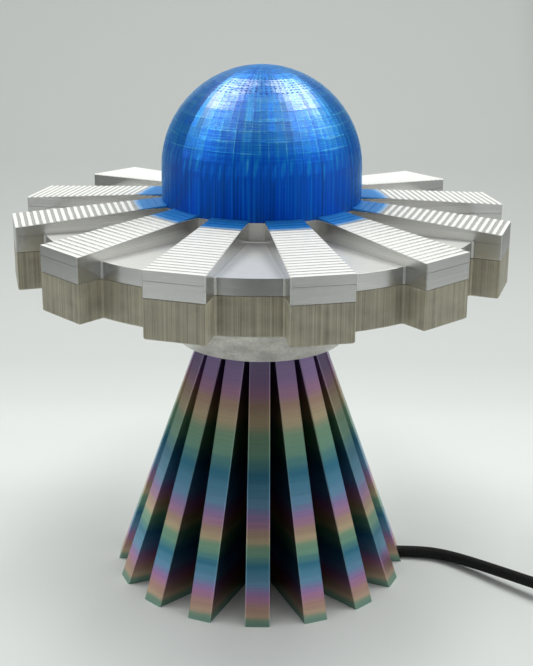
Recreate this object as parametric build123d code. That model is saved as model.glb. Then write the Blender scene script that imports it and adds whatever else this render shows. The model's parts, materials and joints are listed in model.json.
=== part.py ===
from build123d import *
import math
import os

# A table lamp in the shape of a flying saucer that hovers on a finned beam of light.
# All sizes are in millimetres. The origin is the centre of the foot, +Z is up and -Y is the front.

# Finned base
FIN_COUNT = 16
FOOT_RADIUS = 77.9
FIN_TOP_RADIUS = 32.0
BASE_HEIGHT = 129.2
FIN_FOOT_WIDTH = 12.5
FIN_TOP_WIDTH = 10.3
CORE_RADIUS = 25.0
BASE_BORE_RADIUS = 22.0
BASE_WEB = 8.0

# Collar that carries the saucer on the base
COLLAR_FOOT_RADIUS = 43.2
COLLAR_OVERHANG = 1.1
COLLAR_HEIGHT = 36.2
COLLAR_WALL = 3.2
COLLAR_FLOOR = 4.0
COLLAR_FLANGE_WIDTH = 15.0
COLLAR_FLANGE = 3.0

# Saucer: a tray below, a shell with a dome above, both with the same arms
ARM_COUNT = 12
SAUCER_TURN = -1.7
ARM_TIP_RADIUS = 125.0
ARM_TIP_WIDTH = 29.6
ARM_ROOT_WIDTH = 18.8
DISC_RADIUS = 111.6
TRAY_HEIGHT = 18.9
TRAY_FLOOR = 3.0
SHELL_WALL = 2.4
LIP_THICKNESS = 1.3
LIP_HEIGHT = 3.0
LIP_CLEARANCE = 0.3
VALLEY_HEIGHT = 8.3
ARM_TIP_HEIGHT = 12.8
ARM_RISE = 6.2
COLOUR_CHANGE_HEIGHT = 17.9
DOME_RADIUS = 50.75
DOME_CENTRE_HEIGHT = 35.0

# Screws that hold the tray on the collar
TRAY_SCREW_COUNT = 6
TRAY_SCREW_INSET = 10.0
TRAY_SCREW_RADIUS = 1.5
TRAY_SCREW_HEAD_RADIUS = 3.0
TRAY_SCREW_HEAD = 2.0

# Clearances
SCREW_CLEARANCE = 0.2
THREAD_CLEARANCE = 0.05
CORD_CLEARANCE = 0.1
SLOT_CLEARANCE = 0.3
BULB_CLEARANCE = 0.3
SEAT_CLEARANCE = 0.2

# Threaded nipple with its washer, nut and cord grip
NIPPLE_RADIUS = 5.0
WASHER_RADIUS = 11.0
WASHER_THICKNESS = 1.5
NUT_ACROSS_FLATS = 14.0
NUT_HEIGHT = 4.0
GRIP_RADIUS = 8.5
GRIP_THREAD = 8.0
GRIP_THROAT = 12.0
GRIP_SCREW_RADIUS = 2.0
GRIP_SCREW_HEAD_RADIUS = 3.4
GRIP_SCREW_HEAD = 2.4

# Lampholder
HOLDER_RADIUS = 20.0
HOLDER_WALL = 2.2
HOLDER_CAP_HEIGHT = 17.0
HOLDER_CAP_FLOOR = 5.0
HOLDER_SPIGOT = 6.0
HOLDER_SHELL_HEIGHT = 32.0
HOLDER_LIP = 2.6
INSERT_FLOOR = 7.0
INSERT_HEIGHT = 22.0
SLEEVE_WALL = 0.6
SLEEVE_HEIGHT = 21.0
CONTACT_HEIGHT = 3.0
CONTACT_WIDTH = 6.0
TERMINAL_SPACING = 18.0
TERMINAL_RADIUS = 1.5
TERMINAL_HEAD_RADIUS = 3.0
TERMINAL_HEAD = 2.5
TERMINAL_DEPTH = 4.0
WIRE_RADIUS = 0.9

# Lamp bulb
BULB_CAP_RADIUS = 13.2
BULB_CAP_HEIGHT = 18.0
BULB_CAP_WALL = 0.5
BULB_FOOT_RADIUS = 4.2
BULB_FOOT_THICKNESS = 1.5
BULB_CONE_HEIGHT = 4.5
BULB_HOUSING_HEIGHT = 18.8
BULB_HOUSING_TOP_RADIUS = 20.6
BULB_HOUSING_WALL = 1.6
BULB_GLOBE_RADIUS = 22.5
BULB_GLOBE_WALL = 1.4
LED_BOARD_THICKNESS = 1.6
LED_COUNT = 9
LED_CIRCLE = 11.0
LED_SIDE = 3.0
LED_HEIGHT = 0.8

# Cord, its slot under one fin and its place in the base
CORD_RADIUS = 3.0
CORD_EXIT_HEIGHT = 3.2
CORD_BEND_RADIUS = 18.0

# Cord switch
SWITCH_CENTRE = (186.2, -116.1)
SWITCH_HEADING = -75.0
SWITCH_LENGTH = 62.0
SWITCH_WIDTH = 27.0
SWITCH_HALF_HEIGHT = 9.0
SWITCH_WALL = 2.2
SWITCH_EDGE_ROUND = 2.0
SWITCH_CORD_INSET = 10.0
ROCKER_LENGTH = 24.0
ROCKER_WIDTH = 12.0
ROCKER_TILT = 8.0
ROCKER_STAND = 2.6
ROCKER_DEPTH = 4.6
ROCKER_SLOT_GAP = 0.8
ROCKER_PIVOT_RADIUS = 1.5
ROCKER_PIVOT_LENGTH = 1.8
ROCKER_PIVOT_DROP = 2.4
PIVOT_CLEARANCE = 0.05
PIVOT_EAR_THICKNESS = 2.2
PIVOT_EAR_RADIUS = 3.4
SWITCH_SCREW_RADIUS = 1.3
SWITCH_SCREW_HEAD_RADIUS = 2.4
SWITCH_SCREW_HEAD = 1.6
SWITCH_SCREW_POST_RADIUS = 3.0
SWITCH_SCREW_PLACE = (18.0, 8.0)
CONTACT_STRIP = (9.0, 4.0, 0.8)
CONTACT_STRIP_RISE = 9.8
CONTACT_STRIP_PLACE = 6.5
CORD_GRIP_LENGTH = 5.0
CORD_GRIP_WIDTH = 12.0

# Plug with two round pins
PLUG_START = (234.6, 51.0)
PLUG_HEADING = 106.0
PLUG_RELIEF_LENGTH = 24.0
PLUG_RELIEF_RADIUS = 4.0
PLUG_NECK_RADIUS = 5.6
PLUG_LENGTH = 34.0
PLUG_THICKNESS = 13.8
PLUG_NECK_WIDTH = 14.0
PLUG_FACE_WIDTH = 35.0
PLUG_SHOULDER = 12.0
PLUG_EDGE_ROUND = 2.0
PIN_RADIUS = 2.0
PIN_LENGTH = 19.0
PIN_TIP = 1.0
PIN_SPACING = 19.0

# Coil of the put-away cord, held by a tie
COIL_CENTRE = (204.4, -9.0)
COIL_START_ANGLE = 10.0
COIL_OUTER_RADIUS = 46.0
COIL_PITCH = 6.6
COIL_INWARD_HALF_TURNS = 7
COIL_OUTWARD_HALF_TURNS = 5
COIL_LEAD = 6.0
TIE_ANGLE = 135.0
TIE_WIDTH = 9.0
TIE_THICKNESS = 0.9
TIE_GAP = 0.3
GAP_SAMPLES = 1200

# Heights and radii that follow from the sizes above
COLLAR_TOP = BASE_HEIGHT + COLLAR_HEIGHT
COLLAR_TOP_RADIUS = FOOT_RADIUS + COLLAR_OVERHANG
TRAY_SCREW_CIRCLE = COLLAR_TOP_RADIUS - TRAY_SCREW_INSET
PARTING = COLLAR_TOP + TRAY_HEIGHT
VALLEY = PARTING + VALLEY_HEIGHT
ARM_TIP_TOP = PARTING + ARM_TIP_HEIGHT
COLOUR_CHANGE = PARTING + COLOUR_CHANGE_HEIGHT
DOME_CENTRE = PARTING + DOME_CENTRE_HEIGHT
DOME_TOP = DOME_CENTRE + DOME_RADIUS
FIN_LEAN = (FOOT_RADIUS - FIN_TOP_RADIUS) / BASE_HEIGHT
CORD_EXIT_RADIUS = FOOT_RADIUS - FIN_LEAN * CORD_EXIT_HEIGHT
ARM_TAPER = (ARM_TIP_WIDTH - ARM_ROOT_WIDTH) / 2 / (ARM_TIP_RADIUS - DOME_RADIUS)
ARM_SLOPE = ARM_RISE / (ARM_TIP_RADIUS - DOME_RADIUS)
ARM_ANGLES = [SAUCER_TURN - 90 + (k + 0.5) * 360 / ARM_COUNT for k in range(ARM_COUNT)]
FIN_ANGLES = [-90 + k * 360 / FIN_COUNT for k in range(FIN_COUNT)]

WEB_BOTTOM = BASE_HEIGHT - BASE_WEB
NUT_BOTTOM = WEB_BOTTOM - WASHER_THICKNESS - NUT_HEIGHT
NIPPLE_BOTTOM = NUT_BOTTOM - GRIP_THREAD
NIPPLE_BORE_RADIUS = CORD_RADIUS + CORD_CLEARANCE
HOLDER_BOTTOM = BASE_HEIGHT + COLLAR_FLOOR
NIPPLE_TOP = HOLDER_BOTTOM + HOLDER_CAP_FLOOR
HOLDER_SEAM = HOLDER_BOTTOM + HOLDER_CAP_HEIGHT
HOLDER_TOP = HOLDER_SEAM + HOLDER_SHELL_HEIGHT
HOLDER_BORE = HOLDER_RADIUS - HOLDER_WALL
SPIGOT_RADIUS = HOLDER_BORE - THREAD_CLEARANCE
SPIGOT_BORE = SPIGOT_RADIUS - HOLDER_WALL
INSERT_RADIUS = HOLDER_BORE - SEAT_CLEARANCE
INSERT_TOP = HOLDER_SEAM + INSERT_FLOOR
SLEEVE_BORE = BULB_CAP_RADIUS + BULB_CLEARANCE
SLEEVE_RADIUS = SLEEVE_BORE + SLEEVE_WALL

FOOT_BOTTOM = INSERT_TOP + CONTACT_HEIGHT
FOOT_TOP = FOOT_BOTTOM + BULB_FOOT_THICKNESS
CAP_BOTTOM = FOOT_TOP + BULB_CONE_HEIGHT
CAP_TOP = CAP_BOTTOM + BULB_CAP_HEIGHT
HOUSING_TOP = CAP_TOP + BULB_HOUSING_HEIGHT
GLOBE_CENTRE = HOUSING_TOP + math.sqrt(BULB_GLOBE_RADIUS**2 - BULB_HOUSING_TOP_RADIUS**2)

SWITCH_HEIGHT = 2 * SWITCH_HALF_HEIGHT
PIVOT_HEIGHT = SWITCH_HEIGHT - ROCKER_PIVOT_DROP
PLUG_HEIGHT = PLUG_THICKNESS / 2
COIL_LOW = CORD_RADIUS + TIE_THICKNESS + 2 * TIE_GAP
COIL_HIGH = COIL_LOW + COIL_PITCH

# Chosen points of the free cord between its straight ends at the fin, the switch, the coil and the plug
LEAD_POINTS = [
    (104.0, -5.4, 3.5),
    (116.6, -15.8, 4.6),
    (129.6, -28.2, 6.0),
    (143.0, -40.4, 7.0),
    (157.2, -52.6, 7.8),
]
RUN_POINTS = [
    (212.1, -173.9, 6.5),
    (231.6, -179.1, 3.8),
    (251.1, -173.9, 3.2),
    (265.4, -159.6, 3.2),
    (270.6, -140.1, 3.2),
    (267.5, -106.0, 3.2),
    (262.4, -71.0, 3.6),
]
LEAD_STRAIGHT = 14.0
SWITCH_STRAIGHT = 24.0
COIL_STRAIGHT = 30.0
PLUG_STRAIGHT = 12.0


def turned(solid, angle):
    """The solid turned about the lamp's axis by an angle in degrees."""
    return Rot(0, 0, angle) * solid


def ring(outer, inner, bottom, top):
    """An upright tube on the lamp's axis."""
    height = top - bottom
    solid = Cylinder(outer, height, align=(Align.CENTER, Align.CENTER, Align.MIN))
    bore = Cylinder(inner, height, align=(Align.CENTER, Align.CENTER, Align.MIN))
    return Pos(0, 0, bottom) * (solid - bore)


def rod(radius, bottom, top, x=0.0, y=0.0):
    """An upright cylinder."""
    solid = Cylinder(radius, top - bottom, align=(Align.CENTER, Align.CENTER, Align.MIN))
    return Pos(x, y, bottom) * solid


def turned_profile(points):
    """A solid of revolution about the lamp's axis from (radius, height) points."""
    outline = Plane.XZ * Polygon(*points, align=None)
    return revolve(outline, axis=Axis.Z)


def tube(path, radius):
    """A round bar swept along a path that is square to its first point."""
    start = Plane(origin=path @ 0, z_dir=path % 0)
    return sweep(start * Circle(radius), path=path)


def route(name, points):
    """Straight runs joined by tangent arcs, each as large as its two runs allow."""
    spots = [Vector(p) for p in points]
    runs = [b - a for a, b in zip(spots, spots[1:])]
    radii = []
    for before, after in zip(runs, runs[1:]):
        half_turn = math.radians(before.get_angle(after)) / 2
        shorter = min(before.length, after.length)
        radii.append(0.45 * shorter / math.tan(half_turn))
    path = FilletPolyline(*spots, radius=radii)
    print(name, "length", round(path.length, 1), "radii", [round(r) for r in radii])
    return path


def cord(name, points):
    """A free stretch of cord along a route, with its volume set against its length."""
    path = route(name, points)
    solid = tube(path, CORD_RADIUS)
    expected = math.pi * CORD_RADIUS**2 * path.length
    print(name, "volume over expected", round(solid.volume / expected, 4))
    return solid


# Finned base
def fin():
    """One upright fin: a wedge that narrows and draws in towards its top."""
    foot = Plane.XY * Pos(FOOT_RADIUS / 2, 0) * Rectangle(FOOT_RADIUS, FIN_FOOT_WIDTH)
    crest = Plane.XY.offset(BASE_HEIGHT) * Pos(FIN_TOP_RADIUS / 2, 0)
    crest = crest * Rectangle(FIN_TOP_RADIUS, FIN_TOP_WIDTH)
    return loft([foot, crest], ruled=True)


def cord_slot():
    """The round-topped slot under the fin that points along +X, from the bore to the fin's end."""
    half = CORD_RADIUS + SLOT_CLEARANCE
    crown = Plane.YZ * Pos(0, CORD_EXIT_HEIGHT) * Circle(half)
    mouth = Plane.YZ * Pos(0, CORD_EXIT_HEIGHT / 2) * Rectangle(2 * half, CORD_EXIT_HEIGHT)
    return extrude(crown + mouth, FOOT_RADIUS + FIN_FOOT_WIDTH)


def beam_base():
    base = rod(CORE_RADIUS, 0, BASE_HEIGHT)
    base = base + [turned(fin(), angle) for angle in FIN_ANGLES]
    base = base - rod(BASE_BORE_RADIUS, 0, WEB_BOTTOM)
    base = base - rod(NIPPLE_RADIUS + SCREW_CLEARANCE, WEB_BOTTOM, BASE_HEIGHT)
    return base - cord_slot()


# Collar
def neck_collar():
    """A cup with a leaning wall, a floor on the base and a flange under the tray."""
    bore = NIPPLE_RADIUS + SCREW_CLEARANCE
    lean = (COLLAR_TOP_RADIUS - COLLAR_FOOT_RADIUS) / COLLAR_HEIGHT
    floor_top = BASE_HEIGHT + COLLAR_FLOOR
    flange_bottom = COLLAR_TOP - COLLAR_FLANGE
    flange_bore = COLLAR_TOP_RADIUS - COLLAR_FLANGE_WIDTH

    def inner(height):
        return COLLAR_FOOT_RADIUS + lean * (height - BASE_HEIGHT) - COLLAR_WALL

    cup = turned_profile(
        [
            (bore, BASE_HEIGHT),
            (COLLAR_FOOT_RADIUS, BASE_HEIGHT),
            (COLLAR_TOP_RADIUS, COLLAR_TOP),
            (flange_bore, COLLAR_TOP),
            (flange_bore, flange_bottom),
            (inner(flange_bottom), flange_bottom),
            (inner(floor_top), floor_top),
            (bore, floor_top),
        ]
    )
    return cup - tray_screw_rods(TRAY_SCREW_RADIUS + THREAD_CLEARANCE, flange_bottom, COLLAR_TOP)


def tray_screw_rods(radius, bottom, top):
    """Rods at the places of the tray's screws."""
    place = Pos(TRAY_SCREW_CIRCLE, 0, 0) * rod(radius, bottom, top)
    angles = [ARM_ANGLES[0] + k * 360 / TRAY_SCREW_COUNT for k in range(TRAY_SCREW_COUNT)]
    return [turned(place, angle) for angle in angles]


def tray_screws():
    floor_top = COLLAR_TOP + TRAY_FLOOR
    shanks = tray_screw_rods(TRAY_SCREW_RADIUS, COLLAR_TOP - COLLAR_FLANGE, floor_top)
    heads = tray_screw_rods(TRAY_SCREW_HEAD_RADIUS, floor_top, floor_top + TRAY_SCREW_HEAD)
    return Compound(children=[Part() + shank + head for shank, head in zip(shanks, heads)])


# Saucer
def arm_half_width(radius, inset):
    full = ARM_ROOT_WIDTH / 2 + ARM_TAPER * (radius - DOME_RADIUS)
    return full - inset * math.hypot(1, ARM_TAPER)


def arm_plan(inset=0.0):
    """An arm seen from above, drawn in on its sides and end by the inset."""
    root = DOME_RADIUS / 2
    tip = ARM_TIP_RADIUS - inset
    a = arm_half_width(root, inset)
    b = arm_half_width(tip, inset)
    return Polygon((root, -a), (tip, -b), (tip, b), (root, a), align=None)


def saucer_outline(inset=0.0):
    """The disc with its arms, drawn in by the inset."""
    arms = [Rot(0, 0, angle) * arm_plan(inset) for angle in ARM_ANGLES]
    return Sketch() + Circle(DISC_RADIUS - inset) + arms


def saucer_slab(inset, bottom, top):
    """The saucer's outline as an upright slab."""
    return extrude(Plane.XY.offset(bottom) * saucer_outline(inset), top - bottom)


def sloping_arms(inset):
    """The upper arms, whose tops rise from the tip to the dome, drawn in by the inset."""
    root = DOME_RADIUS / 2
    tip = ARM_TIP_RADIUS - inset
    root_top = ARM_TIP_TOP + ARM_SLOPE * (ARM_TIP_RADIUS - root) - inset
    tip_top = ARM_TIP_TOP + ARM_SLOPE * (ARM_TIP_RADIUS - tip) - inset
    corners = [(root, PARTING), (tip, PARTING), (tip, tip_top), (root, root_top)]
    side = extrude(Plane.XZ * Polygon(*corners, align=None), ARM_TIP_WIDTH, both=True)
    block = extrude(Plane.XY.offset(PARTING) * arm_plan(inset), root_top - PARTING)
    arm = side & block
    return [turned(arm, angle) for angle in ARM_ANGLES]


def dome_body(inset):
    """The dome: a cylinder from the parting plane up, closed by half a ball."""
    radius = DOME_RADIUS - inset
    lines = Polyline((0, DOME_CENTRE + radius), (0, PARTING), (radius, PARTING), (radius, DOME_CENTRE))
    crown = CenterArc((0, DOME_CENTRE), radius, 0, 90)
    outline = make_face(Plane.XZ * (lines + crown))
    return revolve(outline, axis=Axis.Z)


def upper_body(inset):
    """The shell's outer form, or the hollow inside it when drawn in by the wall."""
    disc = rod(DISC_RADIUS - inset, PARTING, VALLEY - inset)
    return disc + sloping_arms(inset) + dome_body(inset)


def saucer_lower():
    lip_inset = SHELL_WALL + LIP_CLEARANCE
    hollow_inset = lip_inset + LIP_THICKNESS
    floor_top = COLLAR_TOP + TRAY_FLOOR
    tray = saucer_slab(0, COLLAR_TOP, PARTING) + saucer_slab(lip_inset, PARTING, PARTING + LIP_HEIGHT)
    tray = tray - saucer_slab(hollow_inset, floor_top, PARTING + LIP_HEIGHT)
    tray = tray - rod(COLLAR_TOP_RADIUS - COLLAR_FLANGE_WIDTH, COLLAR_TOP, floor_top)
    return tray - tray_screw_rods(TRAY_SCREW_RADIUS + SCREW_CLEARANCE, COLLAR_TOP, floor_top)


UPPER_SHELL = upper_body(0) - upper_body(SHELL_WALL)
COLOUR_PLANE = Plane.XY.offset(COLOUR_CHANGE)


def saucer_upper():
    return split(UPPER_SHELL, bisect_by=COLOUR_PLANE, keep=Keep.BOTTOM)


def dome():
    return split(UPPER_SHELL, bisect_by=COLOUR_PLANE, keep=Keep.TOP)


# Nipple, its fasteners and the cord grip
def threaded_nipple():
    return ring(NIPPLE_RADIUS, NIPPLE_BORE_RADIUS, NIPPLE_BOTTOM, NIPPLE_TOP)


def nipple_washer():
    return ring(WASHER_RADIUS, NIPPLE_RADIUS + SCREW_CLEARANCE, WEB_BOTTOM - WASHER_THICKNESS, WEB_BOTTOM)


def nipple_nut():
    corner = NUT_ACROSS_FLATS / math.sqrt(3)
    hexagon = Plane.XY.offset(NUT_BOTTOM) * RegularPolygon(corner, 6)
    nut = extrude(hexagon, NUT_HEIGHT)
    return nut - rod(NIPPLE_RADIUS + THREAD_CLEARANCE, NUT_BOTTOM, NUT_BOTTOM + NUT_HEIGHT)


def grip_screw_rod(radius, inner, outer):
    """A rod across the cord grip's throat, on the side away from the slotted fin."""
    height = NIPPLE_BOTTOM - GRIP_THROAT / 2
    bar = Cylinder(radius, outer - inner, align=(Align.CENTER, Align.CENTER, Align.MIN))
    return Pos(-inner, 0, height) * Rot(0, -90, 0) * bar


def cord_grip():
    top = NUT_BOTTOM
    bottom = NIPPLE_BOTTOM - GRIP_THROAT
    body = ring(GRIP_RADIUS, CORD_RADIUS + CORD_CLEARANCE, bottom, top)
    body = body - rod(NIPPLE_RADIUS + THREAD_CLEARANCE, NIPPLE_BOTTOM, top)
    return body - grip_screw_rod(GRIP_SCREW_RADIUS + THREAD_CLEARANCE, 0, 2 * GRIP_RADIUS)


def cord_grip_screw():
    seat = GRIP_RADIUS
    shank = grip_screw_rod(GRIP_SCREW_RADIUS, CORD_RADIUS + THREAD_CLEARANCE, seat)
    head = grip_screw_rod(GRIP_SCREW_HEAD_RADIUS, seat, seat + GRIP_SCREW_HEAD)
    return shank + head


# Lampholder
def lampholder_cap():
    cap = ring(HOLDER_RADIUS, NIPPLE_RADIUS + THREAD_CLEARANCE, HOLDER_BOTTOM, HOLDER_SEAM)
    return cap - rod(HOLDER_BORE, HOLDER_BOTTOM + HOLDER_CAP_FLOOR, HOLDER_SEAM)


def lampholder_shell():
    """A sleeve with a spigot in the cap, a shoulder for the insert and a lip at its mouth."""
    spigot = ring(SPIGOT_RADIUS, SPIGOT_BORE, HOLDER_SEAM - HOLDER_SPIGOT, HOLDER_SEAM)
    sleeve = ring(HOLDER_RADIUS, HOLDER_BORE, HOLDER_SEAM, HOLDER_TOP)
    mouth = ring(HOLDER_RADIUS, SLEEVE_RADIUS + SEAT_CLEARANCE, HOLDER_TOP - HOLDER_LIP, HOLDER_TOP)
    shoulder = ring(HOLDER_RADIUS, SPIGOT_BORE, HOLDER_SEAM, HOLDER_SEAM + HOLDER_WALL)
    return sleeve + spigot + mouth + shoulder


def terminal_places():
    return [(-TERMINAL_SPACING / 2, 0), (TERMINAL_SPACING / 2, 0)]


def lampholder_insert():
    """An insulating cup that carries the screw shell and the two terminals."""
    bottom = HOLDER_SEAM + HOLDER_WALL
    cup = rod(INSERT_RADIUS, bottom, HOLDER_SEAM + INSERT_HEIGHT)
    cup = cup - rod(SLEEVE_RADIUS + THREAD_CLEARANCE, INSERT_TOP, HOLDER_SEAM + INSERT_HEIGHT)
    hole = TERMINAL_RADIUS + THREAD_CLEARANCE
    return cup - [rod(hole, bottom, bottom + TERMINAL_DEPTH, x, y) for x, y in terminal_places()]


def screw_shell_contact():
    """The threaded sleeve that the bulb's cap screws into, with a floor ring on the insert."""
    sleeve = ring(SLEEVE_RADIUS, SLEEVE_BORE, INSERT_TOP, INSERT_TOP + SLEEVE_HEIGHT)
    floor = ring(SLEEVE_RADIUS, SLEEVE_BORE - 2 * SLEEVE_WALL, INSERT_TOP, INSERT_TOP + SLEEVE_WALL)
    return sleeve + floor


def centre_contact():
    """A bent strip whose raised tongue meets the bulb's foot."""
    top = INSERT_TOP + CONTACT_HEIGHT
    half = CONTACT_WIDTH / 2
    strip = SLEEVE_WALL
    corners = [
        (-2 * half, INSERT_TOP),
        (-half, INSERT_TOP),
        (half, top - strip),
        (2 * half, top - strip),
        (2 * half, top),
        (half - strip, top),
        (-half - strip, INSERT_TOP + strip),
        (-2 * half, INSERT_TOP + strip),
    ]
    return extrude(Plane.XZ * Polygon(*corners, align=None), half, both=True)


def terminal_screws():
    seat = HOLDER_SEAM + HOLDER_WALL
    screws = []
    for x, y in terminal_places():
        shank = rod(TERMINAL_RADIUS, seat, seat + TERMINAL_DEPTH - THREAD_CLEARANCE, x, y)
        screws.append(shank + rod(TERMINAL_HEAD_RADIUS, seat - TERMINAL_HEAD, seat, x, y))
    return Compound(children=screws)


def lamp_wires():
    """Two wires from the end of the cord to the terminal screws."""
    bottom = NIPPLE_TOP
    top = HOLDER_SEAM + HOLDER_WALL - TERMINAL_HEAD
    start = CORD_RADIUS / 2
    wires = []
    for x, y in terminal_places():
        side = math.copysign(start, x)
        quarter = (top - bottom) / 4
        spots = [(side, y, bottom), (side, y, bottom + quarter), (x, y, top - quarter), (x, y, top)]
        wires.append(tube(FilletPolyline(*spots, radius=quarter), WIRE_RADIUS))
    return Compound(children=wires)


# Lamp bulb
def bulb_foot_contact():
    return rod(BULB_FOOT_RADIUS, FOOT_BOTTOM, FOOT_TOP)


def bulb_foot_insulator():
    lip = BULB_CAP_RADIUS - BULB_CAP_WALL
    return turned_profile([(0, FOOT_TOP), (BULB_FOOT_RADIUS, FOOT_TOP), (lip, CAP_BOTTOM), (0, CAP_BOTTOM)])


def bulb_screw_cap():
    inner = BULB_CAP_RADIUS - BULB_CAP_WALL
    floor = ring(BULB_CAP_RADIUS, inner / 2, CAP_BOTTOM, CAP_BOTTOM + BULB_CAP_WALL)
    return ring(BULB_CAP_RADIUS, inner, CAP_BOTTOM, CAP_TOP) + floor


def bulb_housing():
    """A tapered cup that stands on the screw cap and carries the board and the globe."""
    board_seat = HOUSING_TOP - 2 * LED_BOARD_THICKNESS
    slope = (BULB_HOUSING_TOP_RADIUS - BULB_CAP_RADIUS) / BULB_HOUSING_HEIGHT
    seat_radius = BULB_CAP_RADIUS + slope * (board_seat - CAP_TOP) - BULB_HOUSING_WALL
    return turned_profile(
        [
            (BULB_CAP_RADIUS - BULB_HOUSING_WALL, CAP_TOP),
            (BULB_CAP_RADIUS, CAP_TOP),
            (BULB_HOUSING_TOP_RADIUS, HOUSING_TOP),
            (seat_radius, HOUSING_TOP),
            (seat_radius, board_seat),
            (seat_radius - BULB_HOUSING_WALL, board_seat),
            (BULB_CAP_RADIUS - BULB_HOUSING_WALL, CAP_TOP + BULB_HOUSING_WALL),
        ]
    )


def led_board():
    seat = HOUSING_TOP - 2 * LED_BOARD_THICKNESS
    slope = (BULB_HOUSING_TOP_RADIUS - BULB_CAP_RADIUS) / BULB_HOUSING_HEIGHT
    radius = BULB_CAP_RADIUS + slope * (seat - CAP_TOP) - BULB_HOUSING_WALL - SEAT_CLEARANCE
    return rod(radius, seat, seat + LED_BOARD_THICKNESS)


def led_chips():
    seat = HOUSING_TOP - LED_BOARD_THICKNESS
    chip = Pos(LED_CIRCLE, 0, seat) * Box(
        LED_SIDE, LED_SIDE, LED_HEIGHT, align=(Align.CENTER, Align.CENTER, Align.MIN)
    )
    return Compound(children=[turned(chip, k * 360 / LED_COUNT) for k in range(LED_COUNT)])


def bulb_globe():
    """An opal ball, open where it stands on the housing."""
    ball = Pos(0, 0, GLOBE_CENTRE) * Sphere(BULB_GLOBE_RADIUS)
    ball = ball - Pos(0, 0, GLOBE_CENTRE) * Sphere(BULB_GLOBE_RADIUS - BULB_GLOBE_WALL)
    return split(ball, bisect_by=Plane.XY.offset(HOUSING_TOP), keep=Keep.TOP)


# Cord inside the lamp
def cord_inside():
    """The cord along the slotted fin, up the bore and through the grip and the nipple."""
    top = NIPPLE_TOP
    spots = [(CORD_EXIT_RADIUS, 0, CORD_EXIT_HEIGHT), (0, 0, CORD_EXIT_HEIGHT), (0, 0, top)]
    return tube(FilletPolyline(*spots, radius=CORD_BEND_RADIUS), CORD_RADIUS)


def heading_vector(heading):
    return Vector(math.cos(math.radians(heading)), math.sin(math.radians(heading)), 0)


def switch_spot(distance):
    """A point on the switch's long axis, counted from its centre towards the plug."""
    return Vector(*SWITCH_CENTRE, SWITCH_HALF_HEIGHT) + heading_vector(SWITCH_HEADING) * distance


SWITCH_CORD_END = SWITCH_LENGTH / 2 - SWITCH_CORD_INSET


def cord_lead():
    start = Vector(CORD_EXIT_RADIUS, 0, CORD_EXIT_HEIGHT)
    leaving = start + Vector(LEAD_STRAIGHT, 0, 0)
    arriving = switch_spot(-SWITCH_CORD_END - SWITCH_STRAIGHT)
    return cord("cord_lead", [start, leaving, *LEAD_POINTS, arriving, switch_spot(-SWITCH_CORD_END)])


# Coil: points and headings at each half turn, joined by pairs of arcs
def coil_stations():
    """(point, heading) at each half turn: spiral in, climb a layer on the last turn, spiral out."""
    stations = []
    inmost = COIL_INWARD_HALF_TURNS
    for k in range(inmost + COIL_OUTWARD_HALF_TURNS + 1):
        steps_in = k if k <= inmost else 2 * inmost - k - 1
        radius = COIL_OUTER_RADIUS - steps_in * COIL_PITCH / 2
        height = COIL_LOW if k < inmost else COIL_HIGH
        angle = COIL_START_ANGLE + 180 * k
        spot = Vector(*COIL_CENTRE, height) + heading_vector(angle) * radius
        stations.append((spot, heading_vector(angle + 90)))
    return stations


def half_turn(start, end):
    """Two arcs of a quarter turn each that leave and arrive along the stations' headings."""
    reach = (end[0] - start[0]).length / 2
    middle = (start[0] + end[0]) * 0.5 + start[1] * reach
    first = TangentArc(start[0], middle, tangent=start[1])
    second = TangentArc(middle, end[0], tangent=first % 1)
    return [first, second]


COIL_STATIONS = coil_stations()
COIL_ENTRY = COIL_STATIONS[0][0] - COIL_STATIONS[0][1] * COIL_LEAD
COIL_LEAVE = COIL_STATIONS[-1][0] + COIL_STATIONS[-1][1] * COIL_LEAD


def coil_path():
    edges = [Line(COIL_ENTRY, COIL_STATIONS[0][0])]
    for start, end in zip(COIL_STATIONS, COIL_STATIONS[1:]):
        edges.extend(half_turn(start, end))
    edges.append(Line(COIL_STATIONS[-1][0], COIL_LEAVE))
    return Wire(edges)


def least_gap(path):
    """The least gap between stretches of the coil that aren't neighbours along it."""
    spots = [path.position_at(k / GAP_SAMPLES) for k in range(GAP_SAMPLES + 1)]
    apart = math.ceil(4 * CORD_RADIUS / path.length * GAP_SAMPLES)
    pairs = ((a, b) for k, a in enumerate(spots) for b in spots[k + apart:])
    return min((a - b).length for a, b in pairs) - 2 * CORD_RADIUS


def cord_coil():
    path = coil_path()
    solid = tube(path, CORD_RADIUS)
    expected = math.pi * CORD_RADIUS**2 * path.length
    print("cord_coil length", round(path.length, 1), "volume over expected", round(solid.volume / expected, 4))
    print("cord_coil least gap to itself", round(least_gap(path), 2))
    return solid


def coil_tie():
    """A flat band around the bundle of turns at one place of the coil."""
    inner_radius = COIL_OUTER_RADIUS - COIL_INWARD_HALF_TURNS * COIL_PITCH / 2
    inner_edge = inner_radius - CORD_RADIUS - TIE_GAP
    outer_edge = COIL_OUTER_RADIUS + CORD_RADIUS + TIE_GAP
    bottom = COIL_LOW - CORD_RADIUS - TIE_GAP
    top = COIL_HIGH + CORD_RADIUS + TIE_GAP
    width = outer_edge - inner_edge
    height = top - bottom
    window = RectangleRounded(width, height, CORD_RADIUS)
    band = RectangleRounded(width + 2 * TIE_THICKNESS, height + 2 * TIE_THICKNESS, CORD_RADIUS + TIE_THICKNESS)
    loop = extrude(Plane.XZ * (band - window), TIE_WIDTH / 2, both=True)
    loop = Pos((inner_edge + outer_edge) / 2, 0, (bottom + top) / 2) * loop
    return Pos(*COIL_CENTRE, 0) * turned(loop, TIE_ANGLE)


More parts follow.
